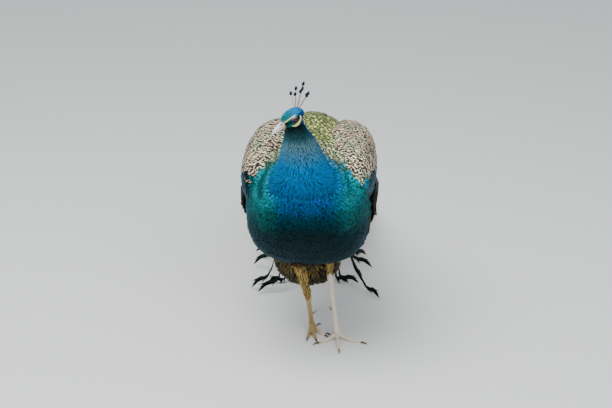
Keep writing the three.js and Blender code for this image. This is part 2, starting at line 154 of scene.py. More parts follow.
TRAIN_BRONZE = paint("77803a")
TRAIN_COPPER = paint("8a5a28")
TRAIN_GREEN = paint("2f8a4c")
FLIGHT_BLACK = paint("0b0e15")
CHESTNUT = paint("6e3d1e")
TAIL_BROWN = paint("4b3c2b")
SWORD_GREEN = paint("0c211a")

# The belly's own dark colours, deepened as painted shade under the body.
BELLY_BROWN = paint("0d0c07")
BELLY_GREEN = paint("081311")
BREAST_PETROL = paint("05394a")
BREAST_BLUE = paint("05609e")
BREAST_AZURE = paint("0ea4ea")
# A grey-teal painted sky reflection across the upper throat.
THROAT_SKY_REFLECTION = paint("78acbe")
THROAT_TEAL = paint("3e6e76")
THROAT_DARK = paint("0a2427")
SIDE_DARK = paint("031f1b")
SIDE_GREEN = paint("015a58")
SIDE_TEAL = paint("028f92")
SIDE_BLUE = paint("0990c8")
NECK_SIDE = paint("2c6a80")

# The colours of the breast's and neck's middle and sides, from the belly up, and how high each lies. The
# middle's grey under the chin is a painted sky reflection.
FRONT_MIDDLE = (
    (290, BELLY_BROWN), (352, BELLY_GREEN), (391, BREAST_PETROL), (430, BREAST_BLUE), (500, BREAST_AZURE),
    (550, THROAT_SKY_REFLECTION), (568, THROAT_TEAL), (590, THROAT_DARK),
)
FRONT_SIDE = (
    (290, BELLY_BROWN), (338, SIDE_DARK), (382, SIDE_GREEN), (426, SIDE_TEAL), (470, SIDE_BLUE),
    (512, SIDE_BLUE), (570, NECK_SIDE), (590, THROAT_DARK),
)


def blend(first, second, share):
    """Colours between two, one for each share."""
    share = np.clip(np.asarray(share, float), 0, 1)[:, None]
    return first * (1 - share) + second * share


def layered(start, *layers):
    """Colours laid over a first one: each layer is a colour and its cover at each spot."""
    made = start
    for colour, cover in layers:
        made = blend(made, colour, cover)
    return made


def graded(heights, levels):
    """Colours at heights, eased between the levels of a table of heights and colours."""
    known = [height for height, _ in levels]
    colours = np.array([colour for _, colour in levels])
    return np.stack([np.interp(heights, known, colours[:, i]) for i in range(3)], axis=1)


def crescent(spots):
    """How much of the bare pale crescent behind and below the eye covers each spot of the head."""
    forward, left, up = head_measures(spots).T
    ahead, over = forward - EYE_PLACE[0], up - EYE_PLACE[2]
    reach = np.hypot(ahead, over)
    angle = np.degrees(np.arctan2(over, ahead)) % 360
    along = np.clip((angle - 154) / 151, 0, 1)
    width = 4.7 * np.sin(np.pi * along**1.35) ** 0.65 + 0.01
    inside = (angle > 154) & (angle < 305) & (np.abs(left) > 5)
    return smoothstep(1.15, 0.85, np.abs(reach - 15.2) / width) * inside


def brow_stripe(spots):
    """How much of the pale stripe from the bill over the eye covers each spot of the head."""
    forward, left, up = head_measures(spots).T
    height = 11.6 - 0.008 * (forward + 6) ** 2
    width = 0.9 * smoothstep(-5, 3, forward) + 0.01
    inside = (forward > -5) & (forward < 27) & (np.abs(left) > 2)
    return smoothstep(1.2, 0.8, np.abs(up - height) / width) * inside


def bare_face(spots):
    """How bare of feathers the head is at each spot."""
    _, left, _ = head_measures(spots).T
    eye = np.array(EYE_PLACE) * np.stack([np.ones(len(left)), np.sign(left), np.ones(len(left))], 1)
    by_eye = smoothstep(8.6, 7.6, np.linalg.norm(head_measures(spots) - eye, axis=1))
    return np.maximum.reduce([crescent(spots), brow_stripe(spots), by_eye])


def head_plumage(spots):
    """The head's feathers: bright crown, black lores, teal cheek and dark chin."""
    forward, _, up = head_measures(spots).T
    crown = smoothstep(6, 11, up + 0.18 * forward)
    above = blend(CROWN_BLUE, CROWN_TEAL, smoothstep(4, 22, forward))
    cheek = np.exp(-((forward - 16) ** 2 + (up + 5.0) ** 2) / 24)
    behind = smoothstep(-6, -17, forward)
    chin = smoothstep(-9, -15, up) * (1 - behind)
    line = np.exp(-((up - 2.8 + 0.12 * forward) ** 2) / 9) * smoothstep(-2, 6, forward)
    by_eye = smoothstep(10.5, 8.0, np.hypot(forward - EYE_PLACE[0], up - EYE_PLACE[2]))
    side = layered(
        CROWN_TEAL * 0.3,
        (EAR_DARK, smoothstep(4, -8, forward)),
        (NAPE_BLUE, behind),
        (CHIN_BLACK, chin * 0.9),
        (CHEEK_TEAL, cheek),
        (CHIN_BLACK, np.maximum(line, by_eye * 0.9)),
    )
    return blend(side, above, crown)


def head_marking(spots):
    """The head's colours with its bare stripe and crescent."""
    return layered(head_plumage(spots), (SKIN_PALE, np.maximum(crescent(spots), brow_stripe(spots))))


def neck_middle(heights):
    """How far left and back the neck's middle line lies at heights."""
    left = np.interp(heights, [415, 500, 545, 590], [0, -3, -8, -15])
    return left, np.interp(heights, [415, 455, 500, 545, 590], [-100, -134, -150, -164, -176])


def neck_marking(spots):
    """Grey-teal under the chin, painted there as a reflection of the sky, then sky and deep blue down the
    front, blue down the nape.
    """
    x, y, z = measures(spots).T
    middle_x, middle_y = neck_middle(z)
    back = smoothstep(-0.35, 0.5, (y - middle_y) / np.hypot(x - middle_x, y - middle_y))
    front = graded(z, FRONT_MIDDLE)
    nape = blend(graded(z, FRONT_SIDE), NAPE_BLUE, smoothstep(440, 520, z))
    return blend(front, nape, back)


def body_marking(spots):
    """Blue down the breast's middle, teal at its sides, cyan by the shoulders, black-green below: the belly's
    own dark colour deepened as painted shade.
    """
    x, y, z = measures(spots).T
    aside = smoothstep(46, 92, np.abs(x - 12))
    upper = blend(graded(z, FRONT_MIDDLE), graded(z, FRONT_SIDE), aside)
    shoulder = aside * smoothstep(400, 428, z) * smoothstep(-30, -70, y)
    lumps = smoothstep(0.0, 0.6, np.sin(x * 0.1 + 0.8) * np.sin(z * 0.085 - y * 0.03)) * aside
    coloured = layered(
        upper,
        (SHOULDER_CYAN, shoulder * 0.6),
        (SHOULDER_GREEN, lumps * smoothstep(340, 370, z) * 0.85),
        (FLIGHT_BLACK, smoothstep(118, 130, np.abs(x - 8)) * smoothstep(372, 396, z)),
        # the belly's own black, deepened as painted shade towards the rear
        (BELLY_BLACK_AND_SHADE, smoothstep(-70, 30, y) * 0.9),
    )
    mantle = smoothstep(455, 468, z) * smoothstep(-118, -102, y)
    return blend(coloured, mantle_marking(spots), mantle)


def mantle_marking(spots):
    """Cream-gold scales behind the neck, turning bronze-green down the back."""
    _, y, _ = measures(spots).T
    return layered(
        MANTLE_CREAM,
        (MANTLE_GOLD, smoothstep(-90, 10, y)),
        (RUMP_GREEN, smoothstep(90, 190, y) * 0.8),
    )


def wing_marking(spots):
    """The barred wing's ground: cream, browner outwards, green and teal towards the breast."""
    x, y, z = measures(spots).T
    drift = np.sin(x * 0.09 + z * 0.05) * np.sin(y * 0.07 - z * 0.06)
    return layered(
        WING_CREAM,
        (WING_PINK, smoothstep(-0.2, 0.7, drift) * 0.55),
        (WING_GREEN, smoothstep(0.1, 0.9, -drift) * 0.7 + smoothstep(455, 405, z) * 0.35),
        (WING_BROWN, smoothstep(108, 158, np.abs(x)) * 0.85),
    )


def wing_foot(spots):
    """How much the plain feathers below the wing's barred coverts cover each spot."""
    x, y, z = measures(spots).T
    front = smoothstep(-20, -80, y)
    line = 427 + front * (18 * smoothstep(105, 150, np.abs(x)) - 6) - 0.12 * np.maximum(y, 0)
    return smoothstep(3, -3, z - line)


def wing_foot_marking(spots):
    """Teal by the breast and black further out and back."""
    x, y, z = measures(spots).T
    outer = np.maximum(smoothstep(108, 122, np.abs(x - 8)), smoothstep(-80, -50, y))
    return blend(graded(z + 18, FRONT_SIDE), FLIGHT_BLACK, outer)


def vent_marking(spots):
    """Grey-brown down with golden tufts near the thighs."""
    x, y, z = measures(spots).T
    tufts = smoothstep(0.35, 0.9, np.sin(x * 0.11 + 1) * np.cos(z * 0.07)) * smoothstep(90, 20, y)
    return blend(VENT_BROWN, VENT_GOLD, tufts * 0.7)


def thigh_marking(spots):
    """Buff feathers with darker streaks."""
    x, y, z = measures(spots).T
    streaks = smoothstep(0.2, 0.9, np.sin(x * 0.5 + y * 0.23) * np.cos(z * 0.02))
    return blend(THIGH_BUFF, THIGH_DARK, np.maximum(streaks * 0.6, smoothstep(215, 250, z)))


def leg_marking(spots):
    """Pinkish grey scales on the forward leg, browner on the one behind as painted shade."""
    x, y, _ = measures(spots).T
    return blend(LEG_SHADED_BROWN, LEG_PINK, smoothstep(12, 34, x + 0.12 * y))


MARKINGS = {
    "head": head_marking,
    "neck": neck_marking,
    "body": body_marking,
    "wing": wing_marking,
    "vent": vent_marking,
    "thigh": thigh_marking,
    "leg": leg_marking,
}
ZONES = {
    "head": ("head",),
    "neck": ("neck_upper", "neck_lower"),
    "body": ("breast", "trunk"),
    "wing": ("wing_left_shoulder", "wing_right_shoulder"),
    "vent": ("vent",),
    "thigh": ("thigh_left", "thigh_right"),
    "leg": ("shank_left", "shank_right", "foot_left", "foot_right"),
}
COAT_DEPTH = {"head": 1.6, "neck": 5, "body": 9, "wing": 8, "vent": 9, "thigh": 5, "leg": 0}

# ---- Materials -------------------------------------------------------------------------------------


class Recipe:
    """A material and short calls that add to its nodes."""

    def __init__(self, name, roughness, metallic=0.0, **sockets):
        self.material = bpy.data.materials.new(name)
        self.material.use_nodes = True
        self.nodes = self.material.node_tree.nodes
        self.links = self.material.node_tree.links
        self.shader = self.nodes["Principled BSDF"]
        self.set("Roughness", roughness)
        self.set("Metallic", metallic)
        for socket, value in sockets.items():
            self.set(socket.replace("_", " "), value)

    def set(self, socket, value):
        """Sets one of the shader's own sockets, or links a node's output to it."""
        if isinstance(value, bpy.types.NodeSocket):
            self.links.new(value, self.shader.inputs[socket])
        else:
            self.shader.inputs[socket].default_value = value

    def add(self, kind, inputs, out=0, **settings):
        """Adds a node. Inputs map a socket's name or number to a value or to another output."""
        node = self.nodes.new("ShaderNode" + kind)
        for name, value in settings.items():
            setattr(node, name, value)
        for key, value in inputs.items():
            if isinstance(value, bpy.types.NodeSocket):
                self.links.new(value, node.inputs[key])
            else:
                node.inputs[key].default_value = value
        return node.outputs[out]

    def math(self, operation, first, second=0.0, third=0.0):
        """One step of arithmetic."""
        return self.add("Math", {0: first, 1: second, 2: third}, operation=operation)

    def mix(self, share, first, second, way="MIX"):
        """A colour between two."""
        first, second = (opaque(c) for c in (first, second))
        inputs = {0: share, 6: first, 7: second}
        return self.add("Mix", inputs, out=2, data_type="RGBA", blend_type=way)

    def times(self, colour, share):
        """A colour times one share, or times one for each channel."""
        shares = share if isinstance(share, tuple) else (share,) * 3
        return self.mix(1.0, colour, shares, "MULTIPLY")

    def length(self, parts):
        """How long the vector of these parts is."""
        return self.add("VectorMath", {0: self.add("CombineXYZ", parts)}, out=1, operation="LENGTH")

    def ease(self, value, low, high):
        """From 0 at low to 1 at high."""
        inputs = {0: value, 1: low, 2: high}
        return self.add("MapRange", inputs, interpolation_type="SMOOTHSTEP")

    def attribute(self, name, out="Color"):
        """A value that the piece's points carry."""
        node = self.nodes.new("ShaderNodeAttribute")
        node.attribute_name = name
        return node.outputs[out]

    def noise(self, scale, detail=2.0, **inputs):
        """Clouds in the piece's own space."""
        place = self.add("TexCoord", {}, out=3)
        return self.add("TexNoise", {"Vector": place, "Scale": scale, "Detail": detail, **inputs})

    def bump(self, height, distance, strength):
        """Fine relief in the shading."""
        made = self.add("Bump", {"Height": height, "Distance": distance, "Strength": strength})
        self.set("Normal", made)

    def colour(self, value):
        """Sets or links the base colour."""
        self.set("Base Color", value)


def opaque(colour):
    """A colour with its fourth value, or a socket as it is."""
    if isinstance(colour, bpy.types.NodeSocket):
        return colour
    return (*[float(c) for c in colour], 1.0)


def vane_places(recipe):
    """How far from the feather's shaft a spot is, and how far along the feather, each from 0 to 1."""
    place = recipe.add("UVMap", {}, uv_map="vane")
    split = recipe.nodes.new("ShaderNodeSeparateXYZ")
    recipe.links.new(place, split.inputs[0])
    across = recipe.math("ABSOLUTE", recipe.math("MULTIPLY_ADD", split.outputs[0], 2.0, -1.0))
    return across, split.outputs[1]


def barbs(recipe, across, along, count, slant=0.35):
    """Fine ridges that slant from the shaft towards the tip."""
    slanted = recipe.math("SUBTRACT", along, recipe.math("MULTIPLY", across, slant))
    return recipe.math("SINE", recipe.math("MULTIPLY", slanted, count * 6.283))


ROOT_SHADE = 0.3  # a feather's brightness at its root
TIP_GLOW = 1.35  # and at its tip


def plumage(name, roughness, metallic, barb_count=9, **sockets):
    """Feathers of one colour, darker at the root and brighter at the tip, with fine barbs."""
    recipe = Recipe(name, roughness, metallic, **sockets)
    across, along = vane_places(recipe)
    ridges = barbs(recipe, across, along, barb_count)
    chance = recipe.attribute("chance", "Fac")
    tint = recipe.attribute("tint")
    shift = recipe.math("MULTIPLY_ADD", chance, 0.05, 0.475)
    glow = recipe.math("MULTIPLY_ADD", chance, 0.8, 0.6)
    varied = recipe.add("HueSaturation", {"Hue": shift, "Value": glow, "Color": tint})
    body = recipe.mix(recipe.ease(along, 0.25, 0.75), recipe.times(varied, ROOT_SHADE), varied)
    lit = recipe.mix(recipe.ease(along, 0.72, 1.0), body, recipe.times(varied, TIP_GLOW))
    recipe.colour(recipe.mix(recipe.ease(ridges, -0.2, 1.2), recipe.times(lit, 0.72), lit))
    recipe.bump(ridges, 0.0004, 0.5)
    return recipe.material


def barred_feathers(name):
    """Pale wing feathers crossed by wavy dark bars, with a pink or green cast."""
    recipe = Recipe(name, 0.45, 0.25)
    across, along = vane_places(recipe)
    chance = recipe.attribute("chance", "Fac")
    wander = recipe.noise(140.0, 2.0)
    wave = recipe.math("MULTIPLY_ADD", along, 23.0, recipe.math("MULTIPLY", wander, 9.0))
    wave = recipe.math("MULTIPLY_ADD", across, -2.4, recipe.math("MULTIPLY_ADD", chance, 6.28, wave))
    bars = recipe.ease(recipe.math("SINE", wave), -0.12, 0.38)
    dark = recipe.mix(recipe.noise(60.0), paint("0d0907"), paint("33231a"))
    pale = recipe.mix(recipe.math("MULTIPLY", chance, 0.5), recipe.attribute("tint"), paint("fff3d6"))
    recipe.colour(recipe.mix(bars, dark, pale))
    recipe.bump(barbs(recipe, across, along, 14), 0.0004, 0.5)
    return recipe.material


def scaled_feathers(name):
    """Mantle feathers: a pale golden middle, a green ring and a black edge, like scales."""
    recipe = Recipe(name, 0.36, 0.45)
    across, along = vane_places(recipe)
    far = recipe.math("SUBTRACT", along, 0.62)
    ahead = recipe.math("MAXIMUM", far, 0.0)
    flat = {0: recipe.math("MULTIPLY", across, 0.9), 1: recipe.math("MULTIPLY", ahead, 2.5)}
    reach = recipe.length(flat)
    tint = recipe.attribute("tint")
    green = recipe.mix(0.5, recipe.times(tint, 0.45), paint("3c6b2c"))
    middle = recipe.mix(recipe.ease(reach, 0.25, 0.62), tint, green)
    recipe.colour(recipe.mix(recipe.ease(reach, 0.66, 0.86), middle, paint("12160c")))
    recipe.bump(barbs(recipe, across, along, 12), 0.0004, 0.5)
    return recipe.material


def eyed_feathers(name):
    """Train feather ends: a dark heart in turquoise, bronze and gold rings, with green barbs round."""
    recipe = Recipe(name, 0.34, 0.5)
    across, along = vane_places(recipe)
    down = recipe.math("MULTIPLY_ADD", along, 2.15, -1.25)
    reach = recipe.length({0: across, 1: down})
    notch = recipe.math("MULTIPLY", recipe.ease(across, 0.24, 0.0), recipe.ease(down, -0.05, 0.25))
    heart = recipe.math("MULTIPLY_ADD", notch, 0.16, reach)
    ramp = recipe.nodes.new("ShaderNodeValToRGB")
    recipe.links.new(heart, ramp.inputs[0])
    rings = (
        (0.00, "0a0c2a"), (0.21, "101a50"), (0.25, "0794a8"), (0.36, "0a9d90"), (0.40, "7a4a22"),
        (0.60, "8c5a26"), (0.64, "a8902f"), (0.70, "6f8c2c"), (0.76, "8d6a3a"), (0.84, "4f7a34"),
        (1.00, "3a6a2c"),
    )
    for place, _ in rings[2:]:
        ramp.color_ramp.elements.new(place)
    for element, (place, code) in zip(sorted(ramp.color_ramp.elements, key=lambda e: e.position), rings):
        element.position = place
        element.color = opaque(paint(code))
    base = recipe.mix(recipe.ease(along, 0.02, 0.22), recipe.attribute("tint"), ramp.outputs[0])
    ridges = barbs(recipe, across, along, 26, 0.6)
    shaft = recipe.mix(recipe.ease(across, 0.035, 0.015), base, paint("c9b98c"))
    recipe.colour(recipe.mix(recipe.ease(ridges, -0.6, 1.0), recipe.times(shaft, 0.6), shaft))
    recipe.bump(ridges, 0.0005, 0.6)
    return recipe.material


def long_feathers(name, roughness, metallic, barb_count, shaft_code):
    """Flight and sword feathers: a shaft and close barbs, coloured by the feather's tint."""
    recipe = Recipe(name, roughness, metallic)
    across, along = vane_places(recipe)
    ridges = barbs(recipe, across, along, barb_count, 0.12)
    tint = recipe.attribute("tint")
    mottled = recipe.mix(recipe.noise(30.0, 4.0), recipe.times(tint, 0.55), tint)
    lined = recipe.mix(recipe.ease(ridges, -0.6, 1.0), recipe.times(mottled, 0.6), mottled)
    recipe.colour(recipe.mix(recipe.ease(across, 0.09, 0.04), lined, paint(shaft_code)))
    recipe.bump(ridges, 0.0004, 0.6)
    return recipe.material


def bare_skin(name):
    """The skin under the plumage and on the face."""
    recipe = Recipe(name, 0.62, 0.0)
    grain = recipe.noise(900.0, 3.0)
    tint = recipe.attribute("tint")
    recipe.colour(recipe.mix(grain, recipe.times(tint, 0.7), tint))
    recipe.bump(grain, 0.0006, 0.5)
    return recipe.material


def scaly_skin(name):
    """The legs' horny scales."""
    recipe = Recipe(name, 0.5, 0.0, Specular_IOR_Level=0.45)
    place = recipe.add("TexCoord", {}, out=3)
    stretched = recipe.add("Mapping", {"Vector": place, "Scale": (1.0, 1.0, 0.75)})
    edges = recipe.add("TexVoronoi", {"Vector": stretched, "Scale": 330.0}, feature="DISTANCE_TO_EDGE")
    grain = recipe.noise(500.0, 3.0)
    tint = recipe.attribute("tint")
    worn = recipe.mix(grain, recipe.times(tint, 0.75), tint)
    line = recipe.ease(edges, 0.0, 0.09)
    recipe.colour(recipe.mix(line, recipe.times(worn, (0.5, 0.42, 0.4)), worn))
    recipe.bump(line, 0.0004, 0.7)
    return recipe.material


def horn(name, pale, dark, scale):
    """Claws and spurs: streaked horn."""
    recipe = Recipe(name, 0.38, 0.0, Coat_Weight=0.25, Coat_Roughness=0.2)
    streaks = recipe.noise(scale, 4.0, Distortion=1.2)
    recipe.colour(recipe.mix(recipe.ease(streaks, 0.35, 0.7), paint(pale), paint(dark)))
    recipe.bump(streaks, 0.0003, 0.4)
    return recipe.material


def bill_finish(name):
    """Streaked horn over the bill's own tint."""
    recipe = Recipe(name, 0.36, 0.0, Coat_Weight=0.2, Coat_Roughness=0.25)
    streaks = recipe.noise(220.0, 4.0, Distortion=0.8)
    tint = recipe.attribute("tint")
    recipe.colour(recipe.mix(recipe.ease(streaks, 0.35, 0.75), tint, recipe.times(tint, 0.72)))
    recipe.bump(streaks, 0.0003, 0.4)
    return recipe.material


def eye_ball(name):
    """The iris's and pupil's own tint under a wet shine."""
    recipe = Recipe(name, 0.12, 0.0, Specular_IOR_Level=0.25, Coat_Weight=0.45, Coat_Roughness=0.03)
    recipe.colour(recipe.attribute("tint"))
    return recipe.material


def shaft_horn(name, code):
    """Bare feather shafts."""
    recipe = Recipe(name, 0.4, 0.0)
    recipe.colour(recipe.mix(recipe.noise(120.0), paint(code), paint(code) * 0.55))
    return recipe.material


# ---- Meshes ----------------------------------------------------------------------------------------


def placed(name, data):
    """A new object of the scene that holds some data."""
    made = bpy.data.objects.new(name, data)
    bpy.context.scene.collection.objects.link(made)
    return made


def new_mesh(name, points, triangles, materials, material_of=None):
    """An object from arrays of points and triangles."""
    mesh = bpy.data.meshes.new(name)
    points = np.ascontiguousarray(points, np.float32)
    triangles = np.ascontiguousarray(triangles, np.int32)
    mesh.vertices.add(len(points))
    mesh.vertices.foreach_set("co", points.ravel())
    mesh.loops.add(triangles.size)
    mesh.loops.foreach_set("vertex_index", triangles.ravel())
    mesh.polygons.add(len(triangles))
    mesh.polygons.foreach_set("loop_start", np.arange(0, triangles.size, 3, dtype=np.int32))
    for material in materials:
        mesh.materials.append(material)
    if material_of is not None:
        mesh.polygons.foreach_set("material_index", np.ascontiguousarray(material_of, np.int32))
    mesh.update(calc_edges=True)
    mesh.validate()
    mesh.shade_smooth()
    return placed(name, mesh)


def add_colours(mesh, colours):
    """Gives a mesh's points their tint."""
    rgba = np.ones((len(colours), 4), np.float32)
    rgba[:, :3] = colours
    mesh.attributes.new("tint", "FLOAT_COLOR", "POINT").data.foreach_set("color", rgba.ravel())


def arrays_of(mesh):
    """A mesh's points and triangles as arrays."""
    points = np.empty(len(mesh.vertices) * 3, np.float32)
    mesh.vertices.foreach_get("co", points)
    mesh.calc_loop_triangles()
    triangles = np.empty(len(mesh.loop_triangles) * 3, np.int32)
    mesh.loop_triangles.foreach_get("vertices", triangles)
    return points.reshape(-1, 3).astype(float), triangles.reshape(-1, 3)


def applied(piece):
    """The piece's mesh with its modifiers made plain, as arrays. The piece is removed."""
    depsgraph = bpy.context.evaluated_depsgraph_get()
    mesh = bpy.data.meshes.new_from_object(piece.evaluated_get(depsgraph))
    made = arrays_of(mesh)
    bpy.data.meshes.remove(mesh)
    bpy.data.objects.remove(piece)
    return made


def joined_nodes(names):
    """The named solids' triangles together, and whose each triangle is."""
    points, triangles, owners, count = [], [], [], 0
    for index, name in enumerate(names):
        own, faces = arrays_of(NODES[name].data)
        points.append(own)
        triangles.append(faces + count)
        owners.append(np.full(len(faces), index))
        count += len(own)
    return np.vstack(points), np.vstack(triangles), np.concatenate(owners)


def fused(names, voxel, smoothing):
    """The named solids grown together into one closed surface, as points and triangles."""
    points, triangles, _ = joined_nodes(names)
    shell = new_mesh("fused", points, triangles, [])
    shell.modifiers.new("weld", "WELD").merge_threshold = WELD_REACH
    remesh = shell.modifiers.new("remesh", "REMESH")
    remesh.mode = "VOXEL"
    remesh.voxel_size = voxel
    smooth = shell.modifiers.new("smooth", "SMOOTH")
    smooth.iterations = smoothing
    return applied(shell)


class Surface:
    """A closed form that feathers are planted on."""

    def __init__(self, points, triangles):
        self.points = points
        self.triangles = triangles
        first, second, third = (points[triangles[:, i]] for i in range(3))
        cross = np.cross(second - first, third - first)
        self.area = np.linalg.norm(cross, axis=1) / 2
        self.middles = (first + second + third) / 3
        self.tree = BVHTree.FromPolygons(points.tolist(), triangles.tolist())
        self.normals = np.zeros_like(points)
        for i in range(3):
            np.add.at(self.normals, triangles[:, i], cross)
        self.normals = unit(self.normals)

    def face_normals(self):
        """Each face's outward direction, from its corners'."""
        return unit(self.normals[self.triangles].sum(axis=1))

    def open_above(self):
        """Which faces see nothing of the form above them."""
        starts = self.middles + self.face_normals() * 1.5 * MM
        return np.array([self.tree.ray_cast(start, (0, 0, 1))[0] is None for start in starts.tolist()])

    def nearest(self, places):
        """The surface's nearest point to each place, and its outward direction there."""
        hits = [self.tree.find_nearest(place) for place in places.tolist()]
        spots = np.array([hit[0] for hit in hits])
        faces = np.array([hit[2] for hit in hits])
        corners = self.points[self.triangles[faces]]
        near = 1 / (np.linalg.norm(corners - spots[:, None], axis=2) + 1e-5)
        blended = (self.normals[self.triangles[faces]] * near[:, :, None]).sum(axis=1)
        return spots, unit(blended)

    def scatter(self, cover, spacing, rng):
        """Even random spots on the faces, where cover is 0 to 1, no two nearer than the spacing."""
        weight = self.area * cover
        count = int(weight.sum() / spacing**2 * 3.0)
        picked = rng.choice(len(weight), count, p=weight / weight.sum())
        a, b = rng.random((2, count))
        a, b = np.where(a + b > 1, 1 - a, a), np.where(a + b > 1, 1 - b, b)
        corners = self.points[self.triangles[picked]]
        edges = corners[:, 1:] - corners[:, :1]
        spots = corners[:, 0] + a[:, None] * edges[:, 0] + b[:, None] * edges[:, 1]
        return spots[thinned(spots, spacing)]


def thinned(spots, spacing):
    """Which spots to keep so that no two are nearer than the spacing."""
    cells, kept = {}, []
    keys = np.floor(spots / spacing).astype(int).tolist()
    near = [(i, j, k) for i in (-1, 0, 1) for j in (-1, 0, 1) for k in (-1, 0, 1)]
    limit = spacing * spacing
    for index, (spot, (i, j, k)) in enumerate(zip(spots.tolist(), keys)):
        x, y, z = spot
        for di, dj, dk in near:
            other = cells.get((i + di, j + dj, k + dk))
            if other and any((x - p) ** 2 + (y - q) ** 2 + (z - r) ** 2 < limit for p, q, r in other):
                break
        else:
            cells.setdefault((i, j, k), []).append(spot)
            kept.append(index)
    return kept


# ---- Feathers --------------------------------------------------------------------------------------

FLOOR_GAP = 0.2 * MM  # how far vanes stay over the ground
CAMBER = 0.12  # how far a small vane's edges bend down, as a share of its half width

# How far along a vane each ring lies with its half width, and its cross-section, aside and up, in shares.
CONTOUR = ((0.0, 0.40), (0.32, 0.9), (0.62, 1.0), (0.86, 0.72))
DOWNY = ((0.0, 0.5), (0.45, 1.0), (0.8, 0.55))
LENS = ((-1, 0), (0, 1), (1, 0), (0, -1))
BROAD_LENS = ((-1, 0), (-0.45, 0.9), (0.45, 0.9), (1, 0), (0, -1))


class Coat:
    """Closed vanes gathered into one piece."""

    def __init__(self):
        self.points, self.triangles, self.vane, self.bake = [], [], [], []
        self.tints, self.chances, self.finish = [], [], []
        self.count = 0

    def add_vanes(self, spines, ups, half_widths, outline, section, tints, patches, patch_size,
                  thickness, camber, chances, finish=0):
        """Vanes along spines: an array of (vane, station, xyz), the last station being the tip."""
        count, stations = spines.shape[:2]
        rings = stations - 1
        ahead = unit(np.gradient(spines, axis=1))
        aside = unit(np.cross(ahead, ups))
        up = np.cross(aside, ahead)
        width = np.array([row[1] for row in outline])[None, :] * np.asarray(half_widths)[:, None]
        shape = np.array(section, float)
        across = shape[None, None, :, 0] * width[:, :, None]
        sag = np.abs(shape[None, None, :, 0]) ** 2 * width[:, :, None] * camber
        ring = (
            spines[:, :rings, None]
            + aside[:, :rings, None] * across[..., None]
            + up[:, :rings, None] * (shape[:, 1, None] * thickness - sag[..., None])
        )
        sides = len(section)
        each = rings * sides + 1
        whole = np.concatenate([ring.reshape(count, rings * sides, 3), spines[:, -1:]], axis=1)
        faces = vane_faces(rings, sides)
        offset = self.count + np.arange(count)[:, None, None] * each
        u = np.tile(0.5 + 0.5 * shape[:, 0], rings)
        v = np.repeat([row[0] for row in outline], sides)
        own = np.tile(np.stack([np.append(u, 0.5), np.append(v, 1.0)], axis=1), (count, 1))
        self.points.append(whole.reshape(-1, 3))
        self.triangles.append((faces[None] + offset).reshape(-1, 3))
        self.vane.append(own)
        self.bake.append(np.repeat(patches, each, axis=0) + (own - 0.5) * patch_size)
        self.tints.append(np.repeat(tints, each, axis=0))
        self.chances.append(np.repeat(chances, each))
        self.finish.append(np.full(count * len(faces), finish, np.int32))
        self.count += count * each

    def piece(self, name, materials):
        """The gathered vanes as one object with its maps and attributes."""
        triangles = np.vstack(self.triangles)
        points = np.vstack(self.points)
        points[:, 2] = np.maximum(points[:, 2], FLOOR_GAP)
        made = new_mesh(name, points, triangles, materials, np.concatenate(self.finish))
        loops = triangles.ravel()
        for label, rows in (("vane", self.vane), ("OFBake", self.bake)):
            layer = made.data.uv_layers.new(name=label)
            places = np.vstack(rows)[loops].astype(np.float32)
            layer.data.foreach_set("uv", np.ascontiguousarray(places).ravel())
        add_colours(made.data, np.vstack(self.tints))
        chance = made.data.attributes.new("chance", "FLOAT", "POINT")
        chance.data.foreach_set("value", np.concatenate(self.chances).astype(np.float32))
        return made


def vane_faces(rings, sides):
    """Triangles of one closed vane: a capped root, quads between rings and a pointed tip."""
    faces = [(0, i + 1, i) for i in range(1, sides - 1)]
    for ring in range(rings - 1):
        for i in range(sides):
            j = (i + 1) % sides
            low, high = ring * sides, (ring + 1) * sides
            faces += [(low + i, low + j, high + j), (low + i, high + j, high + i)]
    last = (rings - 1) * sides
    faces += [(last + i, last + (i + 1) % sides, rings * sides) for i in range(sides)]
    return np.array(faces)


def unwrapped(spots, axis, centre):
    """The spots' places on the skin unrolled round a lengthways axis through a centre."""
    others = [i for i in range(3) if i != axis]
    away = spots - centre
    turn = np.arctan2(away[:, others[0]], away[:, others[1]]) / (2 * math.pi) + 0.5
    along = spots[:, axis]
    length = max(along.max() - along.min(), 1e-6)
    return np.stack([turn, (along - along.min()) / length], axis=1) * 0.98 + 0.01


def flow(spots, guides):
    """The lie of the coat at each spot, from guides: a point of the bird and a direction."""
    places = np.array([at(*place) for place, _ in guides])
    ways = unit([way for _, way in guides])
    far = np.linalg.norm(spots[:, None] - places[None], axis=2)
    weight = 1 / (far + 0.004) ** 3
    return unit((weight[:, :, None] * ways[None]).sum(axis=1))


def laid(surface, roots, ways, lengths, outline, lift, sunk=0.6 * MM, curl=0.0):
    """Spines that start at roots and follow the surface along their ways, rising to their lift."""
    t = np.array([row[0] for row in outline] + [1.0])
    spots, normals = surface.nearest(roots)
    ways = unit(ways - normals * (ways * normals).sum(axis=1, keepdims=True))
    spines, ups = [spots - normals * sunk], [normals]
    for before, now in zip(t[:-1], t[1:]):
        moved = spots + ways * (lengths * (now - before))[:, None]
        spots, normals = surface.nearest(moved)
        ways = unit(ways - normals * (ways * normals).sum(axis=1, keepdims=True))
        rise = lift * now + curl * max(now - 0.55, 0) * lengths
        spines.append(spots + normals * np.asarray(rise)[..., None])
        ups.append(normals)
    return np.stack(spines, axis=1), np.stack(ups, axis=1)


def finished(piece, slot, *replaced):
    """Says what a piece rides on and stands for. The slot is not used."""
    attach(piece, "root")
    if replaced:
        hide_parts(*replaced)


# ---- Skin ------------------------------------------------------------------------------------------

BODY_VOXEL = 4.2 * MM
HEAD_VOXEL = 1.25 * MM
LEG_VOXEL = 1.45 * MM
SCUTE = 5.0 * MM  # from one of the legs' scutes to the next
SCUTE_RELIEF = 0.32 * MM
TOES_HEIGHT = 26 * MM  # below it the scutes run along the toes
UNDER_SHADE = 0.35  # painted shade: how bright the skin is under feathers, to one bare
NECK_SPLIT = 24  # how far above the upper neck's foot the head's fine skin takes over from the body's
SPLIT_SINK = 4.5  # how much deeper each of them runs on under the other, in millimetres


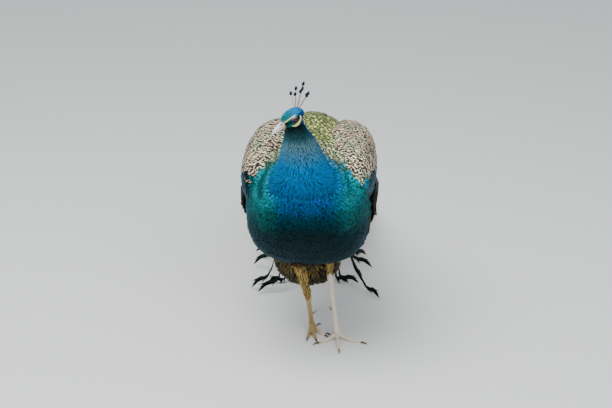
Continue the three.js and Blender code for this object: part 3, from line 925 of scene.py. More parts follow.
def zones_at(points, zones):
    """The zone of the nearest solid at each point, as an index into zones."""
    names = [name for zone in zones for name in ZONES[zone]]
    zone_of_name = [index for index, zone in enumerate(zones) for _ in ZONES[zone]]
    corners, triangles, owners = joined_nodes(names)
    tree = BVHTree.FromPolygons(corners.tolist(), triangles.tolist())
    owner = np.array([owners[tree.find_nearest(p)[2]] for p in points.tolist()])
    return np.array(zone_of_name)[owner]


def eased(values, triangles, rounds):
    """Values at a mesh's points, each softened with its neighbours'."""
    a = triangles.ravel()
    b = np.roll(triangles, -1, axis=1).ravel()
    number = np.bincount(a, minlength=len(values)) + np.bincount(b, minlength=len(values))
    for _ in range(rounds):
        total = np.bincount(a, values[b], len(values)) + np.bincount(b, values[a], len(values))
        values = 0.5 * values + 0.5 * total / np.maximum(number, 1)
    return values


def rounded(points, triangles, rounds):
    """Points of a form, each drawn towards its neighbours."""
    return np.stack([eased(points[:, i], triangles, rounds) for i in range(3)], axis=1)


class Shell:
    """A part of the skin: its surface, the zone at each point and the marking's colours."""

    def __init__(self, zones, names, voxel, smoothing, sink, shaped=None):
        points, triangles = fused(names, voxel, smoothing)
        if shaped is not None:
            points = shaped(points, triangles)
        self.zones = zones
        self.zone = zones_at(points, zones)
        depth = sink(points, np.array([COAT_DEPTH[zone] for zone in zones])[self.zone])
        depth = eased(depth, triangles, 6) * MM
        normals = Surface(points, triangles).normals
        self.surface = Surface(points - normals * depth[:, None], triangles)
        self.tint = marked(self.surface.points, self.zone, zones)

    def cover(self, zone):
        """1 on the faces of a zone and 0 elsewhere."""
        own = self.zone == self.zones.index(zone)
        return own[self.surface.triangles].mean(axis=1) > 0.5


def marked(points, zone, zones):
    """The colours of the bird's markings at points of the given zones."""
    colours = np.zeros((len(points), 3))
    for index, name in enumerate(zones):
        own = zone == index
        if own.any():
            colours[own] = MARKINGS[name](points[own])
    return colours


def over_neck_foot(points):
    """How far above the upper neck's slanting foot points are."""
    _, y, z = measures(points).T
    return z - 535 - 0.25 * (y + 150)


def face_depth(points, _):
    """The head's coat thins to nothing at the bare face, and deepens down to the neck's."""
    up, over = head_measures(points)[:, 2], over_neck_foot(points)
    bare = bare_face(points)
    feathered = np.interp(up, [-50, -14], [COAT_DEPTH["neck"], COAT_DEPTH["head"]])
    under = SPLIT_SINK * smoothstep(NECK_SPLIT - 2, NECK_SPLIT - 16, over)
    return feathered * (1 - bare) - 0.9 * bare + under


def neck_depth(points, depth):
    """The body's skin runs on inside the head's above the split."""
    over = over_neck_foot(points)
    return depth + SPLIT_SINK * smoothstep(NECK_SPLIT + 2, NECK_SPLIT + 16, over)


def drawn_in(points, share):
    """Points drawn level towards the neck's middle line by a share of their distance."""
    middle = np.stack(neck_middle(measures(points)[:, 2]), axis=1) * MM + START[:2]
    drawn = points.copy()
    drawn[:, :2] += (middle - points[:, :2]) * share[:, None]
    return drawn


def head_form(points, triangles):
    """The crease between head and neck filled and rounded, and the neck's foot drawn in."""
    forward, _, up = head_measures(points).T
    share = smoothstep(-3, -13, up + 0.25 * forward) * smoothstep(-62, -44, up) * smoothstep(26, 14, forward)
    soft = rounded(points, triangles, 130)
    foot = 0.45 * smoothstep(17, 4, over_neck_foot(points))
    return drawn_in(points + (soft - points) * share[:, None], foot)


def body_form(points, _):
    """The neck's top drawn in, to lie inside the head's own skin."""
    over = over_neck_foot(points)
    return drawn_in(points, 0.4 * smoothstep(NECK_SPLIT + 6, NECK_SPLIT + 24, over))


def leg_depth(points, depth):
    """The thigh's coat thins to nothing where it meets the bare shank."""
    hocks = np.array([at(*LEFT_HOCK), at(*RIGHT_HOCK)])
    far = np.linalg.norm(points[:, None] - hocks[None], axis=2).min(axis=1) / MM
    return depth * smoothstep(2, 40, far)


def leg_relief(points, normals, bare):
    """Overlapping scutes: ridges across the shanks and across the toes."""
    moved = points.copy()
    left = measures(points)[:, 0] > BETWEEN_LEGS
    for own, foot, hock in ((left, LEFT_FOOT, LEFT_HOCK), (~left, RIGHT_FOOT, RIGHT_HOCK)):
        ankle, top = at(*foot), at(*hock)
        ahead = unit(top - ankle)
        high = (points - ankle) @ ahead
        out = np.linalg.norm((points - ankle)[:, :2], axis=1)
        run = np.where(points[:, 2] > TOES_HEIGHT, high, out)
        wave = (run / SCUTE) % 1.0
        relief = SCUTE_RELIEF * (1 - wave) ** 0.7 * smoothstep(0.002, 0.006, points[:, 2]) * bare
        moved[own] += (normals * relief[:, None])[own]
    return moved


def make_skin(body, head, legs, bare, scaly):
    """One skin for all the flesh, coloured as the coat over it is and darkened as painted shade under the
    feathers.
    """
    shells = [body, head, legs]
    points = np.vstack([shell.surface.points for shell in shells])
    counts = np.cumsum([0] + [len(shell.surface.points) for shell in shells])
    triangles = np.vstack([shell.surface.triangles + n for shell, n in zip(shells, counts)])
    finish = np.zeros(len(triangles))
    finish[-len(legs.surface.triangles) :] = legs.cover("leg")
    piece = new_mesh("skin", points, triangles, [bare, scaly], finish)
    on_face = np.maximum(UNDER_SHADE, bare_face(head.surface.points))[:, None]
    on_legs = np.maximum(UNDER_SHADE, legs.zone == legs.zones.index("leg"))[:, None]
    # painted shade on the skin under the feathers; bare face and bare legs keep their colour
    tints = np.vstack([body.tint * UNDER_SHADE, head.tint * on_face, legs.tint * on_legs])
    add_colours(piece.data, tints)
    flesh = [name for zone in ZONES.values() for name in zone]
    finished(piece, "plumage_blue", *flesh)


# ---- Head ------------------------------------------------------------------------------------------


def curve(controls, count):
    """Points along a smooth curve through controls, evenly shared among its spans."""
    controls = np.asarray(controls, float)
    padded = np.vstack([2 * controls[0] - controls[1], controls, 2 * controls[-1] - controls[-2]])
    place = np.linspace(0, len(controls) - 1, count)
    span = np.minimum(place.astype(int), len(controls) - 2)
    t = (place - span)[:, None]
    a, b, c, d = (padded[span + i] for i in range(4))
    return 0.5 * (2 * b + (c - a) * t + (2 * a - 5 * b + 4 * c - d) * t**2 + (3 * b - a - 3 * c + d) * t**3)


def horn_form(path, radii, across, sides, steps):
    """A closed loft along a path with elliptic rings, as points and triangles."""
    spine = curve(path, steps)
    size = np.maximum(curve(radii, steps), 0.15) * MM
    ahead = unit(np.gradient(spine, axis=0))
    aside = unit(across - ahead * (ahead @ across)[:, None])
    up = np.cross(aside, ahead)
    turn = np.linspace(0, 2 * math.pi, sides, endpoint=False)
    rings = (
        spine[:, None]
        + aside[:, None] * (np.cos(turn)[None, :, None] * size[:, None, :1])
        + up[:, None] * (np.sin(turn)[None, :, None] * size[:, None, 1:])
    ).reshape(-1, 3)
    points = np.vstack([rings, spine[:1], spine[-1:]])
    return points, outward(points, ring_faces(steps, sides))


def ring_faces(rings, sides):
    """Triangles of stacked rings closed by two more points, before the first ring and after the last."""
    low = np.arange(rings - 1)[:, None] * sides
    i = np.arange(sides)[None]
    j = (i + 1) % sides
    quads = np.stack([low + i, low + j, low + sides + j, low + sides + i], axis=-1).reshape(-1, 4)
    start, end, last = rings * sides, rings * sides + 1, (rings - 1) * sides
    caps = [(start, (k + 1) % sides, k) for k in range(sides)]
    caps += [(end, last + k, last + (k + 1) % sides) for k in range(sides)]
    return np.vstack([quads[:, [0, 1, 2]], quads[:, [0, 2, 3]], caps])


def outward(points, triangles):
    """Triangles turned so that a closed form's faces point out."""
    a, b, c = (points[triangles[:, i]] for i in range(3))
    volume = (a * np.cross(b, c)).sum()
    return triangles if volume > 0 else triangles[:, [0, 2, 1]]


BILL_BASE = 22
BILL_LENGTH = 38
NOSTRIL = (33.0, 0.6)  # forward and up in the head
# Each half's middle line, as shares of the bill's length and millimetres up, and its half width and height.
UPPER_BILL = (
    (0, -2, 7.4, 6.6), (0.25, -2.2, 6.0, 5.8), (0.5, -4, 4.9, 4.9), (0.8, -8, 3.3, 3.6), (1, -14.4, 0.9, 1.0),
)
LOWER_BILL = ((0, -10.4, 5.8, 3.2), (0.5, -10.6, 3.9, 2.6), (0.78, -12.4, 1.2, 1.1))
BILL_GREY = paint("e4dedc")
BILL_BASE_GREY = paint("b4a8a2")
# Painted shade on the lower bill's rear, under the upper bill.
BILL_UNDER_SHADE = paint("6e645c")
GAPE_YELLOW = paint("d2b54e")
GAPE_BLACK = paint("15110f")


def bill_half(stations, sides, steps):
    """One half of the bill."""
    path = [in_head(BILL_BASE + BILL_LENGTH * share, 0, up) for share, up, _, _ in stations]
    return horn_form(path, [radii for _, _, *radii in stations], HEAD_TURNED[:, 1], sides, steps)


def make_bill(material):
    """The hooked upper bill over the lower, with slit nostrils, a dark gape and painted shade on the lower
    bill's rear.
    """
    upper, lower = bill_half(UPPER_BILL, 32, 34), bill_half(LOWER_BILL, 28, 20)
    points = np.vstack([upper[0], lower[0]])
    triangles = np.vstack([upper[1], lower[1] + len(upper[0])])
    forward, left, up = head_measures(points).T
    over = up - NOSTRIL[1] + 0.3 * (forward - NOSTRIL[0])
    slit = np.exp(-(((forward - NOSTRIL[0]) / 3.8) ** 4 + (over / 1.3) ** 2)) * (np.abs(left) > 1.5)
    points -= HEAD_TURNED[:, 1] * (np.sign(left) * 1.5 * MM * slit)[:, None]
    yellow = np.exp(-(((up + 8.2) / 1.5) ** 2)) * smoothstep(34, 28, forward)
    seam = np.exp(-(((up + 10.4) / 0.8) ** 2)) * smoothstep(48, 36, forward)
    tint = layered(
        BILL_GREY,
        (BILL_BASE_GREY, smoothstep(34, 24, forward)),
        # painted shade darkens the lower bill's rear
        (BILL_UNDER_SHADE, smoothstep(-10.2, -12, up) * smoothstep(44, 30, forward)),
        (GAPE_YELLOW, yellow),
        (GAPE_BLACK, np.maximum(seam, np.minimum(slit * 1.5, 1))),
    )
    piece = new_mesh("bill", points, triangles, [material])
    add_colours(piece.data, tint)
    finished(piece, "bill_horn", "bill_upper", "bill_lower")


def eye_frame(side):
    """An eye's middle and its outward, forward and upward directions."""
    forward, left, up = (HEAD_TURNED[:, i] for i in range(3))
    out = unit(left * side + forward * 0.18 + up * 0.05)
    ahead = unit(forward - out * (forward @ out))
    return in_head(EYE_PLACE[0], side * EYE_PLACE[1], EYE_PLACE[2]), out, ahead, np.cross(out, ahead) * side


def round_ways(out, ahead, up, tilt, turn):
    """Directions tilted from the outward one and turned about it."""
    return (
        out * np.cos(tilt)[:, None]
        + ahead * (np.sin(tilt) * np.cos(turn))[:, None]
        + up * (np.sin(tilt) * np.sin(turn))[:, None]
    )


EYE_RINGS, EYE_SIDES = 38, 48
PUPIL = 0.45  # how far from the eye's axis its pupil and its iris reach, in radians
IRIS = 0.78
IRIS_DARK = paint("1f0d07")
IRIS_BROWN = paint("4a2010")
EYE_RIM = paint("0c0706")
PUPIL_BLACK = paint("020202")


def make_eye(side, name, material):
    """A ball with a bulging cornea, a streaked brown iris and a round pupil."""
    middle, *axes = eye_frame(side)
    tilt = np.repeat(np.linspace(0, math.pi, EYE_RINGS + 2)[1:-1], EYE_SIDES)
    turn = np.tile(np.linspace(0, 2 * math.pi, EYE_SIDES, endpoint=False), EYE_RINGS)
    tilt = np.append(tilt, [0, math.pi])
    turn = np.append(turn, [0, 0])
    reach = (EYE_RADIUS - 0.25 + 0.75 * np.exp(-((tilt / 0.5) ** 2))) * MM
    points = middle + round_ways(*axes, tilt, turn) * reach[:, None]
    streak = 0.5 + 0.5 * np.sin(turn * 23 + np.sin(turn * 7) * 2)
    tint = layered(
        IRIS_DARK,
        (IRIS_BROWN, streak * 0.7),
        (EYE_RIM, smoothstep(IRIS - 0.08, IRIS + 0.08, tilt)),
        (PUPIL_BLACK, smoothstep(PUPIL + 0.02, PUPIL - 0.02, tilt)),
    )
    triangles = outward(points, ring_faces(EYE_RINGS, EYE_SIDES))
    piece = new_mesh(f"eyeball_{name}", points, triangles, [material])
    add_colours(piece.data, tint)
    finished(piece, "eye", f"eye_{name}")


# The lids' section: radians out from the opening's edge, and millimetres over the eyeball.
LID_RIM = (
    (-0.02, 0.1), (-0.04, 0.4), (0.0, 0.7), (0.07, 0.8), (0.16, 0.65), (0.34, 0.2), (0.3, -0.5), (0.12, -0.4),
)
LID_SIDES = 56
LID_DARK = paint("14100d")
LID_PALE = paint("9a8270")


def lid_ring(side):
    """One eye's rim of skin: its points, triangles and colours."""
    middle, *axes = eye_frame(side)
    turn = np.linspace(0, 2 * math.pi, LID_SIDES, endpoint=False)
    over, beside = np.sin(turn), np.cos(turn)
    opening = 0.80 + 0.2 * np.abs(beside) ** 2 - 0.16 * np.maximum(over, 0) ** 2 + 0.02 * np.sin(turn * 5 + 1)
    points, tints = [], []
    for k, (step, high) in enumerate(LID_RIM):
        wrinkle = 0.12 * np.sin(turn * 19) * (k in (3, 4))
        reach = (EYE_RADIUS + high + wrinkle) * MM
        points.append(middle + round_ways(*axes, opening + step, turn) * reach[:, None])
        tints.append(blend(LID_DARK, LID_PALE, smoothstep(0.1, -0.6, over) * (k > 1)))
    points = np.vstack(points)
    k, i = np.divmod(np.arange(len(points)), LID_SIDES)
    j = (i + 1) % LID_SIDES
    a, b = k * LID_SIDES, (k + 1) % len(LID_RIM) * LID_SIDES
    triangles = np.vstack([np.stack([a + i, a + j, b + j], 1), np.stack([a + i, b + j, b + i], 1)])
    return points, outward(points, triangles), np.vstack(tints)


def make_lids(material):
    """Each eye's lids, dark above and paler below, lower over the eye than at its corners."""
    left, right = lid_ring(1), lid_ring(-1)
    triangles = np.vstack([left[1], right[1] + len(left[0])])
    piece = new_mesh("eyelids", np.vstack([left[0], right[0]]), triangles, [material])
    add_colours(piece.data, np.vstack([left[2], right[2]]))
    finished(piece, "eye")


# ---- Crest, claws and shafts -----------------------------------------------------------------------

CREST_HEIGHT = 65
CREST_ROOT = (-18, 14)  # the fan's middle, back and up in the head
CREST_HEIGHTS = (0.56, 0.66, 0.6, 0.78, 1.0, 0.7, 0.8, 0.6, 0.64)  # as shares of the tallest
CREST_DRIFTS = (-0.9, 0.3, 1.0, -1.0, 0.1, 0.8, -0.4, 0.5, -0.7)  # how far each quill leans sideways
CREST_BARBS = 13  # in each quill's tip
CREST_SIDE_BARBS = 10
CREST_BLUE = paint("0d2f58")
CREST_TEAL = paint("0a3d3a")
CREST_GREY = paint("2a2a24")


def shaft_tree():
    """A Geometry Nodes tree that turns a piece's edges into tapering round shafts."""
    tree = bpy.data.node_groups.new("shafts_along_edges", "GeometryNodeTree")
    for name, kind in (("Geometry", "NodeSocketGeometry"), ("Radius", "NodeSocketFloat"),
                       ("Sides", "NodeSocketInt"), ("Finish", "NodeSocketMaterial")):
        tree.interface.new_socket(name, in_out="INPUT", socket_type=kind)
    tree.interface.new_socket("Geometry", in_out="OUTPUT", socket_type="NodeSocketGeometry")
    new = tree.nodes.new
    start, end = new("NodeGroupInput"), new("NodeGroupOutput")
    lines, ring = new("GeometryNodeMeshToCurve"), new("GeometryNodeCurvePrimitiveCircle")
    sweep, smooth = new("GeometryNodeCurveToMesh"), new("GeometryNodeSetShadeSmooth")
    taper, size = new("GeometryNodeInputNamedAttribute"), new("ShaderNodeMath")
    real, finish = new("GeometryNodeRealizeInstances"), new("GeometryNodeSetMaterial")
    taper.data_type = "FLOAT"
    taper.inputs["Name"].default_value = "taper"
    size.operation = "MULTIPLY"
    ring.inputs["Radius"].default_value = 1.0
    sweep.inputs["Fill Caps"].default_value = True
    for source, out, target, into in (
        (start, "Geometry", lines, "Mesh"),
        (taper, "Attribute", size, 0),
        (start, "Radius", size, 1),
        (size, 0, sweep, "Scale"),
        (start, "Sides", ring, "Resolution"),
        (lines, "Curve", sweep, "Curve"),
        (ring, "Curve", sweep, "Profile Curve"),
        (sweep, "Mesh", smooth, "Geometry"),
        (smooth, "Geometry", real, "Geometry"),
        (real, "Geometry", finish, "Geometry"),
        (start, "Finish", finish, "Material"),
        (finish, "Geometry", end, "Geometry"),
    ):
        tree.links.new(source.outputs[out], target.inputs[into])
    return tree


def make_shafts(name, lines, tapers, radius, sides, material, tree):
    """Round shafts along lines of points, as one plain mesh made by the shaft tree."""
    mesh = bpy.data.meshes.new(name + "_lines")
    points = np.vstack(lines)
    counts = np.cumsum([0] + [len(line) for line in lines])
    edges = [(i, i + 1) for a, b in zip(counts[:-1], counts[1:]) for i in range(a, b - 1)]
    mesh.from_pydata(points.tolist(), edges, [])
    taper = mesh.attributes.new("taper", "FLOAT", "POINT")
    taper.data.foreach_set("value", np.concatenate(tapers).astype(np.float32))
    source = placed(name + "_lines", mesh)
    modifier = source.modifiers.new("shafts", "NODES")
    modifier.node_group = tree
    values = {"Radius": radius, "Sides": sides, "Finish": material}
    for item in tree.interface.items_tree:
        if item.in_out == "INPUT" and item.name in values:
            modifier[item.identifier] = values[item.name]
    depsgraph = bpy.context.evaluated_depsgraph_get()
    made = bpy.data.meshes.new_from_object(source.evaluated_get(depsgraph))
    made.name = name
    bpy.data.objects.remove(source)
    return placed(name, made)


def add_barb(coat, start, way, length, across, half, tint, patch, thickness, chance):
    """One small straight barb."""
    spine = np.array([[start + way * length * MM * t for t in (0, 0.45, 0.8, 1)]])
    coat.add_vanes(spine, np.tile(across, (1, 4, 1)), [half * MM], DOWNY, LENS, [tint], [patch], TUFT_PATCH,
                   thickness * MM, 0.0, chance)


def make_crest(shaft_material, tip_material, tree, rng):
    """A fan of quills with short barbs at their sides, each ending in a small dark fan of barbs."""
    lines, tapers = [], []
    tips = Coat()
    across = HEAD_TURNED[:, 1]
    count = len(CREST_HEIGHTS)
    for i, (tall, drift) in enumerate(zip(CREST_HEIGHTS, CREST_DRIFTS)):
        share = i / (count - 1) - 0.5
        lean = math.radians(-31 + 58 * share)
        height = CREST_HEIGHT * tall
        up = unit(HEAD_TURNED @ np.array([math.sin(lean), drift * 0.13, math.cos(lean)]))
        start = in_head(CREST_ROOT[0] + 12 * share, drift * 0.9, CREST_ROOT[1] + 4 * share)
        line = np.array([start + up * (height + 1.5) * MM * t for t in np.linspace(0, 1, 9)])
        lines.append(line)
        tapers.append(np.linspace(1, 0.55, 9))
        aside = unit(np.cross(up, across))
        for k in range(CREST_BARBS):
            off = abs(k - CREST_BARBS // 2)
            angle = math.radians((k - CREST_BARBS // 2) * 7.5)
            way = up * math.cos(angle) + aside * math.sin(angle)
            base = start + up * height * MM * (0.86 - 0.01 * off)
            length = 9.5 - 0.32 * off + rng.uniform(-0.6, 0.6)
            patch = [(i + 0.5) / count, (k + 0.5) / CREST_BARBS]
            tint = CREST_BLUE if k % 2 else CREST_TEAL
            add_barb(tips, base, way, length, across, 0.75, tint, patch, 0.3, rng.random(1))
        for k in range(CREST_SIDE_BARBS):
            way = unit(up + across * (0.7 if k % 2 else -0.7))
            patch = [(i + 0.5) / count, (k + 0.2) / CREST_BARBS]
            add_barb(tips, line[2 + k // 2], way, 3.2, aside, 0.22, CREST_GREY, patch, 0.2, np.zeros(1))
    made = make_shafts("crest_quills", lines, tapers, 0.5 * MM, 6, shaft_material, tree)
    finished(made, "crest", "crest")
    finished(tips.piece("crest_tips", [tip_material]), "crest")


SWELL = 0.45 * MM  # makes up for what rounding takes off claws and spurs


def softened(name, nodes, material, slot):
    """The named solids with rounded faces, as one piece in their place."""
    points, triangles, _ = joined_nodes(nodes)
    points, same = np.unique(np.round(points, 6), axis=0, return_inverse=True)
    triangles = same.ravel()[triangles]
    points = points + Surface(points, triangles).normals * SWELL
    points[:, 2] = np.maximum(points[:, 2], 0.0)
    rough = new_mesh(name + "_rough", points, triangles, [])
    rough.modifiers.new("weld", "WELD").merge_threshold = WELD_REACH
    round_off = rough.modifiers.new("round", "SUBSURF")
    round_off.levels = 2
    smooth, faces = applied(rough)
    piece = new_mesh(name, smooth, outward(smooth, faces), [material])
    finished(piece, slot, *nodes)


# ---- Plumage ---------------------------------------------------------------------------------------

# The lie of the body's coat: a place in the bird's measures and a direction left, back and up.
LIE_MIDDLE = [
    ((0, -205, 560), (0.0, 0.15, -1.0)),
    ((0, -130, 560), (0.0, 0.35, -1.0)),
    ((0, -215, 430), (0.0, -0.05, -1.0)),
    ((0, -205, 320), (0.0, 0.5, -1.0)),
    ((0, -120, 225), (0.0, 1.0, -0.3)),
    ((0, 60, 200), (0.0, 1.0, 0.05)),
    ((0, -90, 505), (0.0, 1.0, -0.25)),
    ((0, 80, 508), (0.0, 1.0, 0.0)),
    ((0, 240, 460), (0.0, 1.0, -0.5)),
    ((0, 120, 110), (0.0, 0.55, -0.85)),
]
LIE_SIDE = [
    ((60, -160, 490), (0.1, 0.5, -0.9)),
    ((95, -165, 420), (0.35, 0.5, -0.8)),
    ((140, -70, 340), (0.05, 0.75, -0.65)),
    ((120, 40, 260), (0.0, 1.0, -0.25)),
    ((80, 140, 300), (0.0, 1.0, -0.2)),
    ((92, -112, 455), (0.1, 0.5, 0.8)),
    ((150, -85, 430), (0.6, 0.8, 0.15)),
    ((100, -20, 512), (0.0, 1.0, 0.1)),
    ((165, 20, 430), (0.0, 1.0, -0.12)),
    ((150, 20, 370), (0.0, 1.0, -0.3)),
    ((80, 150, 500), (0.0, 1.0, -0.25)),
    ((60, 60, 150), (0.2, 0.6, -0.8)),
    ((50, 0, 215), (0.0, 0.5, -1.0)),
]
LIE = LIE_MIDDLE + LIE_SIDE + [((-x, y, z), (-a, b, c)) for (x, y, z), (a, b, c) in LIE_SIDE]


def plant(coat, surface, cover, spacing, length, slim, lift, rng, outline, section, tint, unroll,
          ways=None, curl=0.0, thickness=0.3 * MM, jitter=0.12, finish=0):
    """Plants feathers all over the covered faces. Their length and lift may follow the spot."""
    roots = surface.scatter(cover, spacing, rng)
    count = len(roots)
    lie = flow(roots, LIE) if ways is None else ways(roots)
    lie = unit(lie + rng.normal(0, jitter, (count, 3)))
    long = (length(roots) if callable(length) else np.full(count, length)) * rng.uniform(0.85, 1.15, count)
    high = (lift(roots) if callable(lift) else np.full(count, lift)) * rng.uniform(0.75, 1.15, count)
    spines, ups = laid(surface, roots, lie, long, outline, high, curl=curl)
    half = long * slim * rng.uniform(0.9, 1.1, count)
    coat.add_vanes(spines, ups, half, outline, section, tint(roots), unwrapped(roots, *unroll),
                   TUFT_PATCH, thickness, CAMBER, rng.random(count), finish)


def make_head_coat(head, material, rng):
    """The smallest feathers: close on the face, curled on the crown, none over the bare skin."""
    coat = Coat()
    surface = head.surface
    middles = surface.middles
    back = HEAD_TURNED @ np.array([-1.0, 0, -0.3])
    bare = np.maximum.reduce([bare_face(middles + back * reach * MM) for reach in (0.0, 2.0, 4.0)])
    open_skin = head.cover("head") * (1 - bare) ** 2
    by_bill = head_measures(middles)[:, 0] < 27
    ways = lambda spots: np.tile(back, (len(spots), 1))
    unroll = (1, at(*HEAD_MIDDLE))
    on_crown = head_measures(middles)[:, 2] > 7.5
    for cover, length, slim, curl, jitter in (
        (open_skin * by_bill * ~on_crown, 4.2 * MM, 0.22, 0.1, 0.2),
        (open_skin * by_bill * on_crown, 3.2 * MM, 0.3, 0.3, 0.45),
    ):
        plant(coat, surface, cover, 1.08 * MM, length, slim, 1.4 * MM, rng, DOWNY, LENS, head_plumage,
              unroll, ways, curl=curl, thickness=0.22 * MM, jitter=jitter)
    finished(coat.piece("head_feathers", [material]), "plumage_blue")


def make_neck_coat(body, head, material, rng):
    """Fine hair-like feathers down the neck, shorter towards the head."""
    coat = Coat()
    unroll = (2, at(0, -150, 500))
    height = lambda spots: measures(spots)[:, 2]
    length = lambda spots: np.interp(height(spots), [430, 560, 600], [17, 12, 6.5]) * MM
    lift = lambda spots: np.interp(height(spots), [555, 598], [3.4, 1.7]) * MM
    for shell, above, spacing in ((body, -1, 2.15 * MM), (head, 1, 1.7 * MM)):
        own = (over_neck_foot(shell.surface.middles) - NECK_SPLIT) * above > 0
        plant(coat, shell.surface, shell.cover("neck") * own, spacing, length, 0.12, lift, rng, DOWNY,
              LENS, neck_marking, unroll, thickness=0.3 * MM, jitter=0.1)
    finished(coat.piece("neck_feathers", [material]), "plumage_blue")


def make_body_coats(body, glossy, matt, scaled, rng):
    """Breast, belly and back, each its own piece."""
    surface = body.surface
    own = body.cover("body")
    _, y, z = measures(surface.middles).T
    back = own & (z > 448) & (y > -128)
    front = own & ~back & (y < -70)
    rear = own & ~back & ~front
    unroll = (1, at(0, 0, 350))
    made = (
        ("breast_feathers", "plumage_teal", front, 3.9 * MM, 15 * MM, 0.36, 6 * MM, glossy, LENS),
        ("belly_feathers", "plumage_black", rear, 5.4 * MM, 23 * MM, 0.38, 8 * MM, matt, LENS),
        ("back_feathers", "plumage_teal", back, 4.8 * MM, 21 * MM, 0.40, 8 * MM, scaled, BROAD_LENS),
    )
    for name, slot, cover, spacing, length, slim, lift, material, section in made:
        coat = Coat()
        plant(coat, surface, cover, spacing, length, slim, lift, rng, CONTOUR, section,
              body_marking, unroll, jitter=0.07)
        finished(coat.piece(name, [material]), slot)


def make_wing_coats(body, barred, glossy, rng):
    """The barred coverts of each wing's shoulder, over plain ones at its foot."""
    surface = body.surface
    x = measures(surface.middles)[:, 0]
    foot = wing_foot(surface.middles)
    for side, name in SIDES:
        coat = Coat()
        cover = body.cover("wing") & (x * side > 0)
        unroll = (1, at(side * 100, 60, 430))
        for finish, share, marking, length in (
            (1, foot, wing_foot_marking, 34 * MM),
            (0, 1 - foot, wing_marking, 24 * MM),
        ):
            plant(coat, surface, cover * share, 5.3 * MM, length, 0.38, 7 * MM, rng, CONTOUR, BROAD_LENS,
                  marking, unroll, finish=finish)
        finished(coat.piece(f"wing_{name}_coverts", [barred, glossy]), "wing_barred")


def make_down(body, legs, downy, rng):
    """The vent's loose down and the thighs' short feathers."""
    coat = Coat()
    unroll = (1, at(-14, 90, 200))
    plant(coat, body.surface, body.cover("vent"), 4.6 * MM, 30 * MM, 0.14, 9 * MM, rng, DOWNY, LENS,
          vent_marking, unroll, thickness=0.9 * MM, jitter=0.3, curl=0.12)
    finished(coat.piece("vent_down", [downy]), "vent_down")
    thighs = Coat()
    unroll = (2, at(0, 0, 200))
    ways = lambda spots: np.tile([0.0, 0.15, -1.0], (len(spots), 1))
    lift = lambda spots: leg_depth(spots, 4.0) * MM + 0.6 * MM
    plant(thighs, legs.surface, legs.cover("thigh"), 2.9 * MM, 15 * MM, 0.14, lift, rng, DOWNY, LENS,
          thigh_marking, unroll, ways, thickness=0.4 * MM)
    finished(thighs.piece("thigh_feathers", [downy]), "thigh")


# ---- Train, tail, flight and sword feathers --------------------------------------------------------

TRAIN_VOXEL = 7 * MM
TRAIN_DEPTH = 8 * MM
TRAIN_FLOOR = 1.5 * MM  # how far the train's core stays over the ground
ROOT_HEIGHT = 400  # the height that the train's root narrows towards, under the feathers of the rump
TRAIN_END = 1150
SCALES_END = 345  # how far back the scales of the train's root reach
SHAFTS_START = 250
SHAFT_SPREAD = ((150, 330, 700, 1100), (0.45, 0.68, 0.92, 1.0))  # how wide the shafts lie at distances back
SHAFT_HEIGHT = ((150, 330, 450, 700, 810, 1000), (520, 410, 320, 160, 105, 60))  # and how high
TRAIN_UNROLL = (1, at(-60, 600, 120))
EYE_SPACING = 45 * MM
FRINGE_BARBS = 9  # on each side of an eyed end
EYE_GRID = 12  # the bake map holds this many big feathers a side
BIG_PATCH = 0.9 / EYE_GRID
LONG = ((0.0, 0.5), (0.15, 0.85), (0.4, 1.0), (0.65, 1.0), (0.85, 0.84), (0.95, 0.5))
EYED = ((0.0, 0.12), (0.12, 0.42), (0.28, 0.78), (0.45, 1.0), (0.62, 1.0), (0.78, 0.86), (0.91, 0.52))


def train_ways(spots):
    """Back along the train, which swings to the right."""
    return np.tile(unit([-TRAIN_BEND, 1.0, -0.15]), (len(spots), 1))


def train_form():
    """The train's surface below its feathers."""
    points, triangles = fused(("train_base", "train_middle", "train_end"), TRAIN_VOXEL, 8)
    normals = Surface(points, triangles).normals
    y = measures(points)[:, 1]
    depth = TRAIN_DEPTH * smoothstep(TRAIN_END, TRAIN_END - 120, y) + 2 * MM
    points = points - normals * depth[:, None]
    root = 0.34 * smoothstep(186, 112, y)
    points[:, 0] += (at(0, 0, 0)[0] + train_line(y) * MM - points[:, 0]) * root
    points[:, 2] += (ROOT_HEIGHT * MM - points[:, 2]) * root
    points[:, 2] = np.maximum(points[:, 2], TRAIN_FLOOR)
    return Surface(points, triangles)


def rump_form():
    """The back and the train's root as one slope, with the step between them filled."""
    points, triangles = fused(("trunk", "train_base", "train_middle"), 6 * MM, 6)
    soft = rounded(points, triangles, 40)
    normals = Surface(soft, triangles).normals
    rise = np.interp(measures(points)[:, 1], [40, 105], [-COAT_DEPTH["body"] + 1, 1.5]) * MM
    return Surface(soft + normals * rise[:, None], triangles)


def train_marking(spots):
    """Bronze-green with copper patches, greener towards the end."""
    x, y, _ = measures(spots).T
    drift = np.sin(x * 0.05 + y * 0.031) * np.sin(y * 0.017 + 2)
    return layered(
        TRAIN_BRONZE,
        (TRAIN_GREEN, smoothstep(-0.2, 0.8, drift) * 0.7),
        (TRAIN_COPPER, smoothstep(0.1, 0.9, -drift) * 0.6),
    )


def grid_patch(index):
    """A big feather's own place on its bake map."""
    row, column = divmod(np.asarray(index), EYE_GRID)
    return np.stack([(column + 0.5) / EYE_GRID, (row + 0.5) / EYE_GRID], axis=1)


def turned(ways, ups, angles):
    """Directions swung about their upward directions."""
    return ways * np.cos(angles)[:, None] + np.cross(ups, ways) * np.sin(angles)[:, None]


def make_train_core(form, under):
    """The form that the train's feathers lie on, its colour darkened as painted shade under them."""
    core = new_mesh("train_under", form.points, form.triangles, [under])
    # painted shade: the train's colours darkened under its feathers
    add_colours(core.data, train_marking(form.points) * UNDER_SHADE)
    finished(core, "train", "train_base", "train_middle", "train_end")


